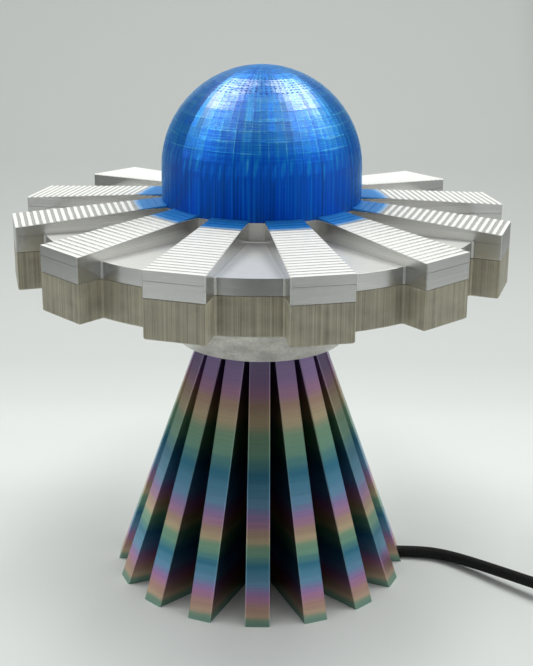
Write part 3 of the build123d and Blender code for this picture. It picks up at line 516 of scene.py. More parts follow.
def blue_silk(colours, saucer):
    """Blue silk on the dome. The wall below has streaks, the rim of the dome a belt of upright drops,
    and the crown flat cells with light lines between them and rows of dark dashes near the top. The dome
    is painted lighter and more cyan than the wall as painted light from above, and each strip lighter
    at one edge than the other as a painted shade of its tilt."""
    made, tree, shader = material(
        "blue_silk",
        Metallic=0.45,
        IOR=1.8,
        Specular_Tint=(0.1, 1.0, 0.9, 1.0),
        Coat_IOR=2.15,
        Coat_Roughness=0.22,
        Coat_Tint=(0.78, 1.0, 0.90, 1.0),
        Sheen_Weight=0.16,
        Sheen_Roughness=0.4,
        Sheen_Tint=(0.06, 0.45, 1.0, 1.0),
    )
    polar = use_group(tree, "polar", Centre=saucer.dome_centre)
    rise = polar["Rise"]
    strip = polar["Turn"] * float(saucer.strips)
    band = rise.math("MAXIMUM", 0.0) * float(saucer.bands)
    spot = xyz(strip, rise)

    def belt(low, high, soft):
        """Full between two rises, with soft ends."""
        return step(rise, low - soft, low) * fall(rise, high, high + soft)

    def up_dome(to_low, to_high):
        """A change of level from the wall to the dome."""
        return step(rise, 0.02, 0.30, to_low, to_high)

    in_strip = strip.math("FRACT") - 0.5
    in_band = band.math("FRACT") - 0.5
    luck = chance(strip, 7.0)
    cell = chance(strip, band)
    other = chance(band, strip)
    on_dome = up_dome(0.0, 1.0)
    fine = swing(spot, (3.3, 0.6, 1.0))
    broad = swing(spot, (0.9, 0.7, 1.0))
    layer = swing(spot, (0.15, 190.0, 1.0))
    speck = swing(spot, (3.0, 110.0, 1.0), 1.0)
    upright = fall(near_whole(strip), 0.03, 0.14)
    seen = step(swing(spot, (0.16, 40.0, 1.0), 1.0), -0.08, 0.10)
    level_line = fall(near_whole(band), 0.02, 0.10) * seen
    above = rise - (luck * 0.06 + 0.10)
    wide = ((above * -2.2 + in_strip) / 0.26).math("POWER", 2.0)
    tall = (above / 0.065).math("POWER", 2.0)
    drop = step(wide + tall, 0.2, 1.2, 1.0, -0.35)
    dash = fall(near_whole(strip), 0.12, 0.34) * fall(near_whole(band * 3.0), 0.10, 0.34)
    dash = dash * step(swing(spot, (0.8, 22.0, 1.0), 1.0), -0.14, 0.06) * belt(0.60, 0.90, 0.03)
    # Painted light: the level is raised on the dome above the wall, and is lighter at one edge of each
    # strip and darker at the other as a painted shade of its tilt
    level = (
        on_dome * 0.24
        + 0.34
        + cell * on_dome * 0.06
        + in_strip * 0.10
        + luck * up_dome(0.16, 0.10)
        + fine * step(rise, 0.0, 0.3, 1.6, 0.5)
        + broad * 0.45
        + drop * belt(0.05, 0.15, 0.06) * (broad * 0.6 + 0.15)
        + upright * belt(0.20, 0.42, 0.08) * (other * 0.3 + 0.14)
        + level_line * belt(0.19, 0.42, 0.01) * 0.33
        + layer * on_dome * 0.8
        + speck * belt(0.33, 0.40, 0.01) * 0.7
        + dash * -1.3
    )
    shine = layer * 1.8 + 0.62 + cell * 0.12 + luck * 0.22 + speck * 1.6 + dash * -1.5 + upright * 0.25
    tilt = in_strip * (cell * up_dome(0.0, 0.5) + luck) + in_band * up_dome(0.0, 0.35) * other
    relief = tilt * step(rise, 0.4, 0.9, 1.0, 0.25) + layer * 0.12
    base = tuple(colours.blue)
    # Painted highlight: the upper stops are paler and more cyan, for the lit crown of the dome
    stops = [(0.0, tint(base, 0.35)), (0.4, base), (0.7, (0.006, 0.215, 0.74)), (1.0, (0.11, 0.40, 0.88))]
    feed(
        shader,
        Base_Color=ramp(level, stops),
        Roughness=step(rise, 0.0, 0.35, 0.22, 0.28),
        Coat_Weight=shine * step(rise, 0.14, 0.47) * step(rise, 0.70, 0.95, 1.0, 0.4),
    )
    bump(shader, relief + use_group(tree, "print_lines")["Height"] * 0.17, 0.8, 0.0007)
    return made


BLUE_OVER_SILVER = [(0.0, (0.52, 0.62, 0.76)), (0.55, (0.09, 0.34, 0.72)), (1.0, (0.018, 0.23, 0.62))]


def blue_tread(saucer):
    """Blue silk on the roots of the arms: paler than the dome, and thin over the silver at its edge."""
    made, tree, shader = material("blue_tread", Metallic=0.3, Roughness=0.4)
    spot = unrolled(tree)
    silver, _ = arm_step_counts(saucer)
    steps = parts(spot)[0] - float(silver) + swing(spot, (1.0, 0.8, 1.0), 3.0) * 0.9
    feed(shader, Base_Color=ramp(step(steps, -0.35, 1.5), BLUE_OVER_SILVER))
    return made


def clear_print(name, shade, contrast, cloudy=0.25):
    """Clear print: cloudy and grey, with light and dark upright streaks from its inner lines."""
    made, tree, shader = material(name, Roughness=0.36, IOR=1.46)
    streaks = use_group(tree, "print_streaks", Fine=2400.0, Long=9.0)
    cloud = noise(place(tree), (90, 90, 120), 3.0)
    both = streaks["Fine"] * (0.65 - cloudy) + streaks["Broad"] * 0.35 + cloud * cloudy
    stops = [(0.36, tint(shade, 1 - contrast)), (0.64, tint(shade, 1 + contrast))]
    feed(shader, Base_Color=ramp(both, stops))
    return made


def fin_face(base):
    """Colour-shifting silk on the fins' outer faces: bands of colour that follow the height."""
    made, tree, shader = material("fin_face", Metallic=1.0, Roughness=0.36)
    lines = use_group(tree, "print_lines")
    shade = use_group(tree, "colour_shift", Height=base.height)["Color"]
    fine = ramp(lines["Shade"], [(0.3, (0.86, 0.86, 0.86)), (0.7, (1.0, 1.0, 1.0))])
    feed(shader, Base_Color=mixed(1.0, shade, fine, "MULTIPLY"))
    bump(shader, lines["Height"], *LAYER_RELIEF)
    return made


def fin_edge_highlight(base):
    """The fins' narrow edges: the same bands, painted a little paler, a painted highlight where the edges
    catch the light.
    """
    made, tree, shader = material("fin_edge_highlight", Metallic=0.8, Roughness=0.4)
    shade = use_group(tree, "colour_shift", Height=base.height)["Color"]
    # Painted highlight: the bands mixed a little toward pale grey
    feed(shader, Base_Color=mixed(0.12, shade, (0.62, 0.66, 0.66)))
    return made


def fin_side_painted_shade(base):
    """The fins' flanks: the same bands, painted darker, a painted shade for the narrow gaps between the
    fins.
    """
    made, tree, shader = material("fin_side_painted_shade", Metallic=1.0, Roughness=0.38)
    shade = use_group(tree, "colour_shift", Height=base.height)["Color"]
    # Painted shade: the bands mixed a third of the way toward black
    feed(shader, Base_Color=mixed(0.35, shade, (0.004, 0.004, 0.006)))
    bump(shader, use_group(tree, "print_lines")["Height"], *LAYER_RELIEF)
    return made


STRAND_PITCH = 0.0042
STRANDS = 8.0


def braid(colours, cord_length):
    """Braided cord: two sets of strands that cross at a slant along the cord's own UV, with a painted
    shade that darkens the grooves between them.
    """
    made, tree, shader = material("braid", Roughness=0.7, Specular_IOR_Level=0.25)
    along, around, _ = parts(out(node(tree, "ShaderNodeTexCoord"), "UV"))
    along, around = along * (cord_length / STRAND_PITCH), around * STRANDS
    one, two = ((slant * (2 * math.pi)).math("SINE") for slant in (along + around, along - around))
    height = one * two
    # Painted shade: darker where the strands dip, lighter on their tops
    stops = [(0.0, tint(colours.braid, 0.5)), (1.0, tint(colours.braid, 1.6))]
    feed(shader, Base_Color=ramp(height * 0.5 + 0.5, stops))
    bump(shader, height, 0.35, 0.0002)
    return made


def plain(name, shade, metallic, roughness, grain=1500.0, depth=0.12):
    """A moulded or turned finish: a base colour with a fine grain in its shade and roughness."""
    made, tree, shader = material(name, Metallic=metallic)
    speck = noise(place(tree), (grain, grain, grain), 3.0)
    low, high = max(0.05, roughness - 0.06), min(1.0, roughness + 0.06)
    tone = ramp(speck, [(0.3, tint(shade, 1 - depth)), (0.7, shade)])
    feed(shader, Base_Color=tone, Roughness=step(speck, 0.3, 0.7, low, high))
    return made


def arm_angles(saucer):
    """The directions of the arms."""
    return saucer.turn - math.pi / 2 + (np.arange(saucer.arms) + 0.5) * 2 * math.pi / saucer.arms


def arm_taper(saucer):
    """How much half an arm's width grows with its length."""
    return (saucer.tip_width - saucer.root_width) / 2 / (saucer.tip_radius - saucer.dome_radius)


def arm_half_width(saucer, radius, inset=0.0):
    """Half an arm's width at a radius: it widens evenly from the dome to the tip."""
    taper = arm_taper(saucer)
    return saucer.root_width / 2 + taper * (radius - saucer.dome_radius) - inset * math.hypot(1, taper)


# The arms: their clipped corners, how far they enter the dome, the points of one arm's outline, the
# edges of its steps, and UV per metre across
ARM_EDGE = 0.0004
ARM_SINK = 0.0008
ARM_POINTS = 6
STEP_EDGE = 0.0003
ARM_UV = 300
# The disc between two arms: the slants at its ends and the points of its arc
NOTCH_EDGE = 0.0008
NOTCH_ARC = 7


def saucer_loop(saucer, inset, height, rim=0.0):
    """The outline of disc and arms as one closed loop, drawn in by the inset, and the disc also by
    the rim. Each arm has two clipped corners at its tip and two narrow slants where it meets the
    disc, and an arc leads to the next arm."""
    disc, tip = saucer.disc_radius - inset - rim, saucer.tip_radius - inset
    taper = arm_taper(saucer)
    w0 = arm_half_width(saucer, 0.0, inset)
    a, b, c = 1 + taper**2, 2 * taper * w0, w0**2 - disc**2
    foot = (-b + math.sqrt(b * b - 4 * a * c)) / (2 * a)
    start = math.atan2(arm_half_width(saucer, foot, inset), foot) + NOTCH_EDGE / disc
    near, clipped = foot + NOTCH_EDGE, tip - ARM_EDGE
    wn, wc, wt = (arm_half_width(saucer, r, inset) for r in (near, clipped, tip))
    wt -= ARM_EDGE
    arm = np.array([(near, -wn), (clipped, -wc), (tip, -wt), (tip, wt), (clipped, wc), (near, wn)])
    turn = 2 * math.pi / saucer.arms
    arc = np.concatenate([[-start], np.linspace(start, turn - start, NOTCH_ARC + 2)[:-1]])
    arc = disc * np.stack([np.cos(arc), np.sin(arc)], axis=1)
    sector = np.concatenate([arc[:1], arm, arc[1:]])
    sector = np.column_stack([sector, np.full(len(sector), height)])
    return np.concatenate([turned(sector, t) for t in arm_angles(saucer)])


def edge_columns(saucer):
    """Marks the columns of the outline that are narrow edges."""
    sector = np.zeros(ARM_POINTS + NOTCH_ARC + 2, bool)
    sector[[0, 2, 4, 6]] = True
    return np.tile(sector, saucer.arms)


def onto_circle(loop, radius, height):
    """A loop's points moved along their radii onto a circle at a height."""
    around = loop[:, :2] / np.linalg.norm(loop[:, :2], axis=1, keepdims=True)
    return np.column_stack([around * radius, np.full(len(loop), height)])


def arm_step_counts(saucer):
    """Number of steps on an arm's top in silver, and in all."""
    silver = int((saucer.colour_change - saucer.tip_top) / saucer.layer)
    return silver, math.ceil(saucer.arm_rise / saucer.layer)


def arm_steps(saucer, first, last, bottom, ceiling=1.0):
    """An arm's block with a top of level steps, one layer each: a section of two sides and a top
    carried inwards along the arm, with two stations at each step's edge. Gives points and UV, whose
    first value counts the steps from the tip."""
    run = saucer.layer * (saucer.tip_radius - saucer.dome_radius) / saucer.arm_rise
    k = np.arange(first, last)
    outer = saucer.tip_radius - k * run
    inner = np.maximum(outer - run, saucer.dome_radius - ARM_SINK)
    radius = np.stack([outer, inner], axis=1).ravel()
    height = np.minimum(np.repeat(saucer.tip_top + (k + 0.5) * saucer.layer, 2), ceiling)
    u = np.stack([k, k + (outer - inner) / run], axis=1).ravel()
    half = arm_half_width(saucer, radius)
    if first == 0:
        radius = np.insert(radius, 1, radius[0] - ARM_EDGE)
        height = np.insert(height, 1, height[0])
        u = np.insert(u, 1, ARM_EDGE / run)
        half = np.insert(half, 1, arm_half_width(saucer, radius[1]))
        half[0] -= ARM_EDGE
    columns = [(half, bottom), (half, height - STEP_EDGE), (half - STEP_EDGE, height)]
    columns = columns + [(-y, z) for y, z in columns[::-1]]
    points = sections(*[(radius, y, z) for y, z in columns])
    uv = np.stack([np.column_stack([u, y * ARM_UV]) for y, _ in columns], axis=1)
    return points, uv


class LampPieces:
    """What the lamp's operators share."""

    bl_options = {"REGISTER", "UNDO"}


class LAMP_OT_groups(LampPieces, bpy.types.Operator):
    """Makes the shader groups that the finishes share"""

    bl_idname = "lamp.groups"
    bl_label = "Shared print textures"

    def execute(self, context):
        print_lines_group()
        print_streaks_group()
        polar_group()
        colour_shift_group()
        return {"FINISHED"}


# The fins: their clipped edges, how far they enter the tube, and the stations up a fin
FIN_EDGE = 0.0004
FIN_SINK = 0.002
FIN_STATIONS = 33
# The fin with the cord: the height of its slotted foot and how far this enters the bore, the height of
# the slot's centre and the points of its arch
FOOT_TOP = 0.0072
FOOT_ENTRY = 0.0005
SLOT_CENTRE = 0.0032
SLOT_ARCH = 17
# The closed end of the tube: its thickness and the hole for the nipple
WEB = 0.008
NIPPLE_HOLE = 0.0053


class LAMP_OT_base(LampPieces, bpy.types.Operator):
    """Builds the finned base"""

    bl_idname = "lamp.base"
    bl_label = "Finned base"
    FACE, SIDE, EDGE = range(3)

    def fin(self, base, low):
        """A fin from a height up: its section, with two clipped edges, carried up along Z."""
        z = np.linspace(low, base.height, FIN_STATIONS)
        t = z / base.height
        outer = base.foot_radius + (base.top_radius - base.foot_radius) * t
        half = (base.foot_width + (base.top_width - base.foot_width) * t) / 2
        inner = base.core_radius - FIN_SINK
        columns = [(inner, -half), (outer - FIN_EDGE, -half), (outer, FIN_EDGE - half)]
        columns = columns + [(x, -y) for x, y in columns[::-1]]
        shell = Shell(sections(*[(x, y, z) for x, y in columns]), ends=("first", "last"))
        row = [self.SIDE, self.EDGE, self.FACE, self.EDGE, self.SIDE]
        shell.material = np.concatenate([np.tile(row, len(z) - 1), [self.SIDE, self.SIDE]])
        return shell

    def slotted_foot(self, base):
        """The foot of the fin with the cord's slot: an arch carried out along the fin to its end."""
        half, slot = base.foot_width / 2, base.slot_width / 2
        arch = np.linspace(0, math.pi, SLOT_ARCH)
        y = np.concatenate([[-half, -half, half, half, slot], slot * np.cos(arch), [-slot]])
        z = np.concatenate([[0, FOOT_TOP, FOOT_TOP, 0, 0], SLOT_CENTRE + slot * np.sin(arch), [0]])
        slant = (base.foot_radius - base.top_radius) / base.height
        ends = [np.full_like(z, base.bore_radius - FOOT_ENTRY), base.foot_radius - slant * z]
        points = np.stack([np.column_stack([x, y, z]) for x in ends])
        shell = Shell(points[:, ::-1], tube=True, ends=("first", "last"), material=self.SIDE)
        shell.material[-1] = self.FACE
        return shell

    def execute(self, context):
        base = context.scene.lamp_base
        angles = -math.pi / 2 + np.arange(base.fins) * 2 * math.pi / base.fins
        slotted = base.fins // 4
        shells = []
        for k, angle in enumerate(angles):
            shell = self.fin(base, FOOT_TOP if k == slotted else 0.0)
            shell.points = turned(shell.points, angle)
            shells.append(shell)
        foot = self.slotted_foot(base)
        foot.points = turned(foot.points, angles[slotted])
        shells.append(foot)
        core, bore, hole = base.core_radius, base.bore_radius, NIPPLE_HOLE
        top, web = base.height, base.height - WEB
        tube = [(bore, web), (bore, 0), (core, 0), (core, top), (hole, top), (hole, web)]
        # The tube between the fins takes the flanks' painted shade as well
        shells.append(Shell(revolved(tube), closed=True, material=self.SIDE))
        finishes = [fin_face(base), fin_side_painted_shade(base), fin_edge_highlight(base)]
        piece("finned_base", shells, "lamp", finishes, ["beam_base"])
        return {"FINISHED"}


# The collar: its wall, its hole for the nipple, its flange and floor, and the points round it
COLLAR_WALL = 0.0032
COLLAR_HOLE = 0.0052
COLLAR_FLANGE = 0.003
COLLAR_FLOOR = 0.004
COLLAR_ROUND = 192
# Lower edge of collar and tray
LOWER_EDGE = 0.0006
# The tray: its bore, which the collar's flange shares, its floor and its upper edge
TRAY_BORE = 0.064
TRAY_FLOOR = 0.003
TRAY_EDGE = 0.0002
# The tray's lip, which stands up inside the silver half: its outer and inner inset, and its height
LIP_OUTER = 0.0027
LIP_INNER = 0.004
LIP_RISE = 0.003


class LAMP_OT_clear(LampPieces, bpy.types.Operator):
    """Builds the clear collar and the clear lower half of the saucer"""

    bl_idname = "lamp.clear"
    bl_label = "Clear collar and tray"

    def execute(self, context):
        scene = context.scene
        self.collar(scene.lamp_base, scene.lamp_saucer)
        self.tray(scene.lamp_saucer, tuple(scene.lamp_colours.clear))
        return {"FINISHED"}

    def collar(self, base, saucer):
        """A cone with a floor that rests on the fins and a flange under the saucer."""
        low, high = base.height, saucer.tray_bottom
        lean = (base.collar_top - base.collar_foot) / (high - low)

        def cone(z):
            return base.collar_foot + lean * (z - low)

        edge, flange, floor = low + LOWER_EDGE, high - COLLAR_FLANGE, low + COLLAR_FLOOR
        profile = [
            (COLLAR_HOLE, low),
            (cone(low) - LOWER_EDGE, low),
            (cone(edge), edge),
            (cone(high), high),
            (TRAY_BORE, high),
            (TRAY_BORE, flange),
            (cone(flange) - COLLAR_WALL, flange),
            (cone(floor) - COLLAR_WALL, floor),
            (COLLAR_HOLE, floor),
        ]
        shell = Shell(revolved(profile, COLLAR_ROUND), closed=True)
        # Painted light: the collar's clear print is a paler copy of the tray's
        finish = clear_print("clear_collar_lit", (0.60, 0.60, 0.54), 0.26, 0.60)
        piece("collar", [shell], "lamp", [finish], ["neck_collar"])

    def tray(self, saucer, clear):
        """The lower half of disc and arms, with a lip that stands up inside the silver half."""
        bottom, top = saucer.tray_bottom, saucer.parting
        floor, rise = bottom + TRAY_FLOOR, top + LIP_RISE
        insets = [
            (LOWER_EDGE, bottom),
            (0, bottom + LOWER_EDGE),
            (0, top - TRAY_EDGE),
            (TRAY_EDGE, top),
            (LIP_OUTER, top),
            (LIP_OUTER, rise),
            (LIP_INNER, rise),
            (LIP_INNER, floor),
        ]
        loops = [saucer_loop(saucer, inset, height) for inset, height in insets]
        loops.insert(0, onto_circle(saucer_loop(saucer, 0, bottom), TRAY_BORE, bottom))
        loops.append(onto_circle(loops[-1], TRAY_BORE, floor))
        shell = Shell(np.stack(loops), closed=True)
        edges = np.zeros((len(loops), len(loops[0])), int)
        edges[2, edge_columns(saucer)] = 1
        shell.material = edges.ravel()
        wall = clear_print("clear_tray", clear, 0.40)
        # Painted highlight: a paler copy of the clear print for the narrow corners of the wall
        edge = clear_print("clear_edge_highlight", tint(clear, 1.3), 0.3)
        piece("clear_tray", [shell], "lamp", [wall, edge], ["saucer_lower"])


# Edge of the disc's rim, and the fillet where the disc meets the wall under the dome
RIM_EDGE = 0.0001
DOME_FILLET = 0.0005


class LAMP_OT_top(LampPieces, bpy.types.Operator):
    """Builds the silver upper half of the saucer"""

    bl_idname = "lamp.top"
    bl_label = "Silver top"
    WALL, TREAD, FLOOR, EDGE = range(4)

    def execute(self, context):
        saucer, colours = context.scene.lamp_saucer, context.scene.lamp_colours
        low, valley, change = saucer.parting, saucer.valley, saucer.colour_change
        dome, wall = saucer.dome_radius, saucer.wall
        outline = saucer_loop(saucer, 0, low)
        loops = [
            saucer_loop(saucer, STEP_EDGE, low),
            saucer_loop(saucer, 0, low + STEP_EDGE),
            saucer_loop(saucer, 0, valley - RIM_EDGE),
            saucer_loop(saucer, 0, valley, rim=RIM_EDGE),
            onto_circle(outline, dome + DOME_FILLET, valley),
            onto_circle(outline, dome, valley + DOME_FILLET),
            onto_circle(outline, dome, change),
            onto_circle(outline, dome - wall, change),
            onto_circle(outline, dome - wall, valley - wall),
            saucer_loop(saucer, wall, valley - wall),
            saucer_loop(saucer, wall, low),
        ]
        band = Shell(np.stack(loops), closed=True)
        index = np.zeros((len(loops), len(outline)), int)
        index[1, edge_columns(saucer)] = self.EDGE
        index[3] = self.FLOOR
        band.material = index.ravel()
        shells = [band]
        _, whole = arm_step_counts(saucer)
        points, uv = arm_steps(saucer, 0, whole, valley - STEP_EDGE, ceiling=change)
        row = [self.WALL, self.TREAD, self.TREAD, self.TREAD, self.WALL]
        columns = np.tile(row, (len(points) - 1, 1))
        columns[0, [0, -1]] = self.EDGE
        for angle in arm_angles(saucer):
            shell = Shell(turned(points, angle), ends=("first",), uv=uv)
            shell.material = np.concatenate([columns.ravel(), [self.WALL]])
            shells.append(shell)
        finishes = [made(colours) for made in (silver_wall, silver_tread, silver_floor, silver_edge)]
        piece("silver_top", shells, "shade", finishes, ["saucer_upper"], sharp=12)
        return {"FINISHED"}


# Radius of the point at the top of the dome
CROWN = 1e-5


class LAMP_OT_dome(LampPieces, bpy.types.Operator):
    """Builds the blue dome and the blue roots of the arms"""

    bl_idname = "lamp.dome"
    bl_label = "Blue dome"

    def execute(self, context):
        saucer, colours = context.scene.lamp_saucer, context.scene.lamp_colours
        low, centre, radius = saucer.colour_change, saucer.dome_centre, saucer.dome_radius
        inside = radius - saucer.wall
        rise = np.linspace(0, math.pi / 2, saucer.bands + 1)[:-1]
        ring = np.stack([np.cos(rise), np.sin(rise)], axis=1)
        profile = np.concatenate(
            [
                [(radius, low)],
                ring * radius + (0, centre),
                [(CROWN, centre + radius), (CROWN, centre + inside)],
                ring[::-1] * inside + (0, centre),
                [(inside, low)],
            ]
        )
        shells = [Shell(revolved(profile, saucer.strips), closed=True)]
        silver, whole = arm_step_counts(saucer)
        points, uv = arm_steps(saucer, silver, whole, low)
        for angle in arm_angles(saucer):
            shells.append(Shell(turned(points, angle), ends=("first",), uv=uv, material=1))
        finishes = [blue_silk(colours, saucer), blue_tread(saucer)]
        piece("blue_dome", shells, "shade", finishes, ["dome"], sharp=1)
        return {"FINISHED"}


# Colour, metal and roughness of the moulded and turned pieces
INSIDE_FINISHES = {
    "zinc_steel": ((0.60, 0.60, 0.57), 1.0, 0.34),
    "black_plastic": ((0.018, 0.018, 0.019), 0.0, 0.42),
    "rocker_plastic": ((0.022, 0.022, 0.023), 0.0, 0.25),
    "white_ceramic": ((0.84, 0.82, 0.77), 0.0, 0.3),
    "brass": ((0.72, 0.50, 0.20), 1.0, 0.3),
    "wire_sheath": ((0.66, 0.65, 0.60), 0.0, 0.4),
    "bulb_metal": ((0.72, 0.72, 0.70), 1.0, 0.3),
    "bulb_insulator": ((0.02, 0.018, 0.024), 0.0, 0.15),
    "white_plastic": ((0.82, 0.82, 0.79), 0.0, 0.38),
    "board": ((0.80, 0.81, 0.79), 0.0, 0.35),
    "led_yellow": ((0.86, 0.62, 0.08), 0.0, 0.3),
    "opal_plastic": ((0.90, 0.90, 0.87), 0.0, 0.4),
    "tie_rubber": ((0.022, 0.022, 0.022), 0.0, 0.7),
    "pin_metal": ((0.66, 0.66, 0.64), 1.0, 0.22),
}


class LAMP_OT_inside(LampPieces, bpy.types.Operator):
    """Gives the lampholder, the bulb and the fasteners their finishes"""

    bl_idname = "lamp.inside"
    bl_label = "Lampholder, bulb and fasteners"

    def execute(self, context):
        finishes = {name: plain(name, *look) for name, look in INSIDE_FINISHES.items()}
        for sub in FRAME["record"]["subparts"]:
            if sub["material_slot"] in finishes:
                dress(sub["node"], finishes[sub["material_slot"]])
        return {"FINISHED"}


CORD_RADIUS = 0.003
# The cord's route, in millimetres, as chosen points from the fin to the switch and on to the plug. The
# cord enters the switch at half its length, and is straight before and behind it
SWITCH = np.array((186.2, -116.1, 9.0))
SWITCH_WAY = np.array((math.cos(math.radians(-75)), math.sin(math.radians(-75)), 0.0))
SWITCH_HALF = 21
SWITCH_STRAIGHT = 45
LEAD_ROUTE = [
    (76.763, 0.0, 3.2),
    (90.763, 0.0, 3.2),
    (104.0, -5.4, 3.5),
    (116.6, -15.8, 4.6),
    (129.6, -28.2, 6.0),
    (143.0, -40.4, 7.0),
    (157.2, -52.6, 7.8),
    tuple(SWITCH - SWITCH_STRAIGHT * SWITCH_WAY),
    tuple(SWITCH - SWITCH_HALF * SWITCH_WAY),
]
RUN_ROUTE = [
    tuple(SWITCH + SWITCH_HALF * SWITCH_WAY),
    tuple(SWITCH + SWITCH_STRAIGHT * SWITCH_WAY),
    (212.1, -173.9, 6.5),
    (231.6, -179.1, 3.8),
    (251.1, -173.9, 3.2),
    (265.4, -159.6, 3.2),
    (270.6, -140.1, 3.2),
    (267.5, -106.0, 3.2),
    (262.4, -71.0, 3.6),
]
# The coil: its centre, the angle where it starts, its outer radius, pitch and lowest height, half turns
# inwards and outwards, and the distances of points on the straight cord before and after it
COIL_CENTRE = np.array((204.4, -9.0))
COIL_START = math.radians(10)
COIL_OUTER = 46.0
COIL_PITCH = 6.6
COIL_LOW = 4.5
COIL_IN = 7
COIL_OUT = 5
COIL_BEFORE = (36, 6)
COIL_AFTER = (6, 18)
PLUG_START = np.array((234.6, 51.0, 6.9))
PLUG_WAY = np.array((math.cos(math.radians(106)), math.sin(math.radians(106)), 0.0))
PLUG_STRAIGHT = 12


def coil_stations():
    """Where the coil crosses its starting line, half a turn apart: spiralling in on the low layer,
    then out on the high one. Gives places and angles."""
    k = np.arange(COIL_IN + COIL_OUT + 1)
    inward = np.where(k <= COIL_IN, k, 2 * COIL_IN - k - 1)
    radius = COIL_OUTER - inward * COIL_PITCH / 2
    height = np.where(k < COIL_IN, COIL_LOW, COIL_LOW + COIL_PITCH)
    angle = COIL_START + math.pi * k
    flat = COIL_CENTRE + radius[:, None] * np.stack([np.cos(angle), np.sin(angle)], axis=1)
    return np.column_stack([flat, height]), angle


def coil_route(points_per_half=8):
    """The coil's points: half circles that each join two stations. The points stand out a little,
    because the spline runs inside them."""
    station, angle = coil_stations()
    middle = (station[:-1] + station[1:]) / 2
    half = np.linalg.norm((station[1:] - station[:-1])[:, :2], axis=1) / 2
    share = (np.arange(points_per_half) + 0.5) / points_per_half
    stand_out = 1 / math.cos(math.pi / points_per_half / 2)
    turn = angle[:-1, None] + math.pi * share
    reach = stand_out * half[:, None]
    x = middle[:, :1] + reach * np.cos(turn)
    y = middle[:, 1:2] + reach * np.sin(turn)
    z = station[:-1, 2:] + (station[1:] - station[:-1])[:, 2:] * share
    return np.stack([x, y, z], axis=2).reshape(-1, 3)


def spline_cord(name, points, finish):
    """A round cord on a smooth spline with the route's points as its control points."""
    points = np.asarray(points, float) * MM
    curve = bpy.data.curves.new(name, "CURVE")
    curve.dimensions = "3D"
    spline = curve.splines.new("NURBS")
    spline.points.add(len(points) - 1)
    spline.points.foreach_set("co", np.column_stack([points, np.ones(len(points))]).ravel())
    spline.order_u = 3
    spline.use_endpoint_u = True
    spline.resolution_u = 8
    curve.bevel_depth = CORD_RADIUS
    curve.bevel_resolution = 6
    curve.use_fill_caps = True
    curve.materials.append(finish)
    obj = new_object(name, curve)
    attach(obj, "lamp")
    return obj


class LAMP_OT_cord(LampPieces, bpy.types.Operator):
    """Lays the braided cord from the fin to the switch, the coil and the plug"""

    bl_idname = "lamp.cord"
    bl_label = "Braided cord"

    def execute(self, context):
        colours = context.scene.lamp_colours
        lead = spline_cord("cord_to_switch", LEAD_ROUTE, braid(colours, 0.149))
        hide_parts("cord_lead")
        station, _ = coil_stations()
        way = np.array((-math.sin(COIL_START), math.cos(COIL_START), 0.0))
        before = [station[0] - far * way for far in COIL_BEFORE]
        after = [station[-1] + far * way for far in COIL_AFTER]
        tail = [PLUG_START - PLUG_STRAIGHT * PLUG_WAY, PLUG_START]
        route = np.concatenate([RUN_ROUTE, before, coil_route(), after, tail])
        run = spline_cord("cord_to_plug", route, braid(colours, 1.61))
        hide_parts("cord_run", "cord_coil", "cord_tail")
        dress("cord_inside", plain("cord_sheath", tint(colours.braid, 1.5), 0.0, 0.75, 2500.0, 0.6))
        return {"FINISHED"}


# Brightness of the paper by its distance in metres from the lamp's axis, away from the camera: a painted
# falloff of the light, pale near the lamp and greyer up the backdrop
PAPER_TONES = (
    (-0.15, 0.97),
    (0.0, 0.92),
    (0.07, 0.80),
    (0.20, 0.70),
    (0.24, 0.64),
    (0.32, 0.57),
    (0.9, 0.47),
    (1.2, 0.52),
)
# The paper in metres: half its width, its near end, the start and radius of its bend and the points
# along this, and its upper end
PAPER_HALF = 4.0
PAPER_NEAR = -3.0
PAPER_FAR = 0.7
PAPER_BEND = 0.5
PAPER_POINTS = 25
PAPER_HIGH = 4.0
# Brightness of the room from left to right
ROOM_TONES = ((0.0, 0.50), (0.2, 0.60), (0.8, 0.68), (1.0, 0.84))
ROOM_STRENGTH = 0.66
# The softboxes: width and depth, power, colour, place of the right one and the point they face
BOX_SIZE = (0.90, 0.70)
BOX_POWER = 12.4
BOX_COLOUR = (0.985, 1.0, 0.95)
BOX_PLACE = (0.57, 0.48, 1.36)
BOX_AIM = (0.0, 0.0, 0.2)
# The camera: focal length and image width in pixels, sensor width in millimetres, turn, tilt and roll
# in degrees, and place in millimetres
FOCAL_LENGTH = 1381.88
IMAGE_WIDTH = 533
SENSOR_WIDTH = 36.0
CAMERA_ANGLES = (-0.671, 18.60, 0.34)
CAMERA_PLACE = (10.95, -689.86, 362.31)


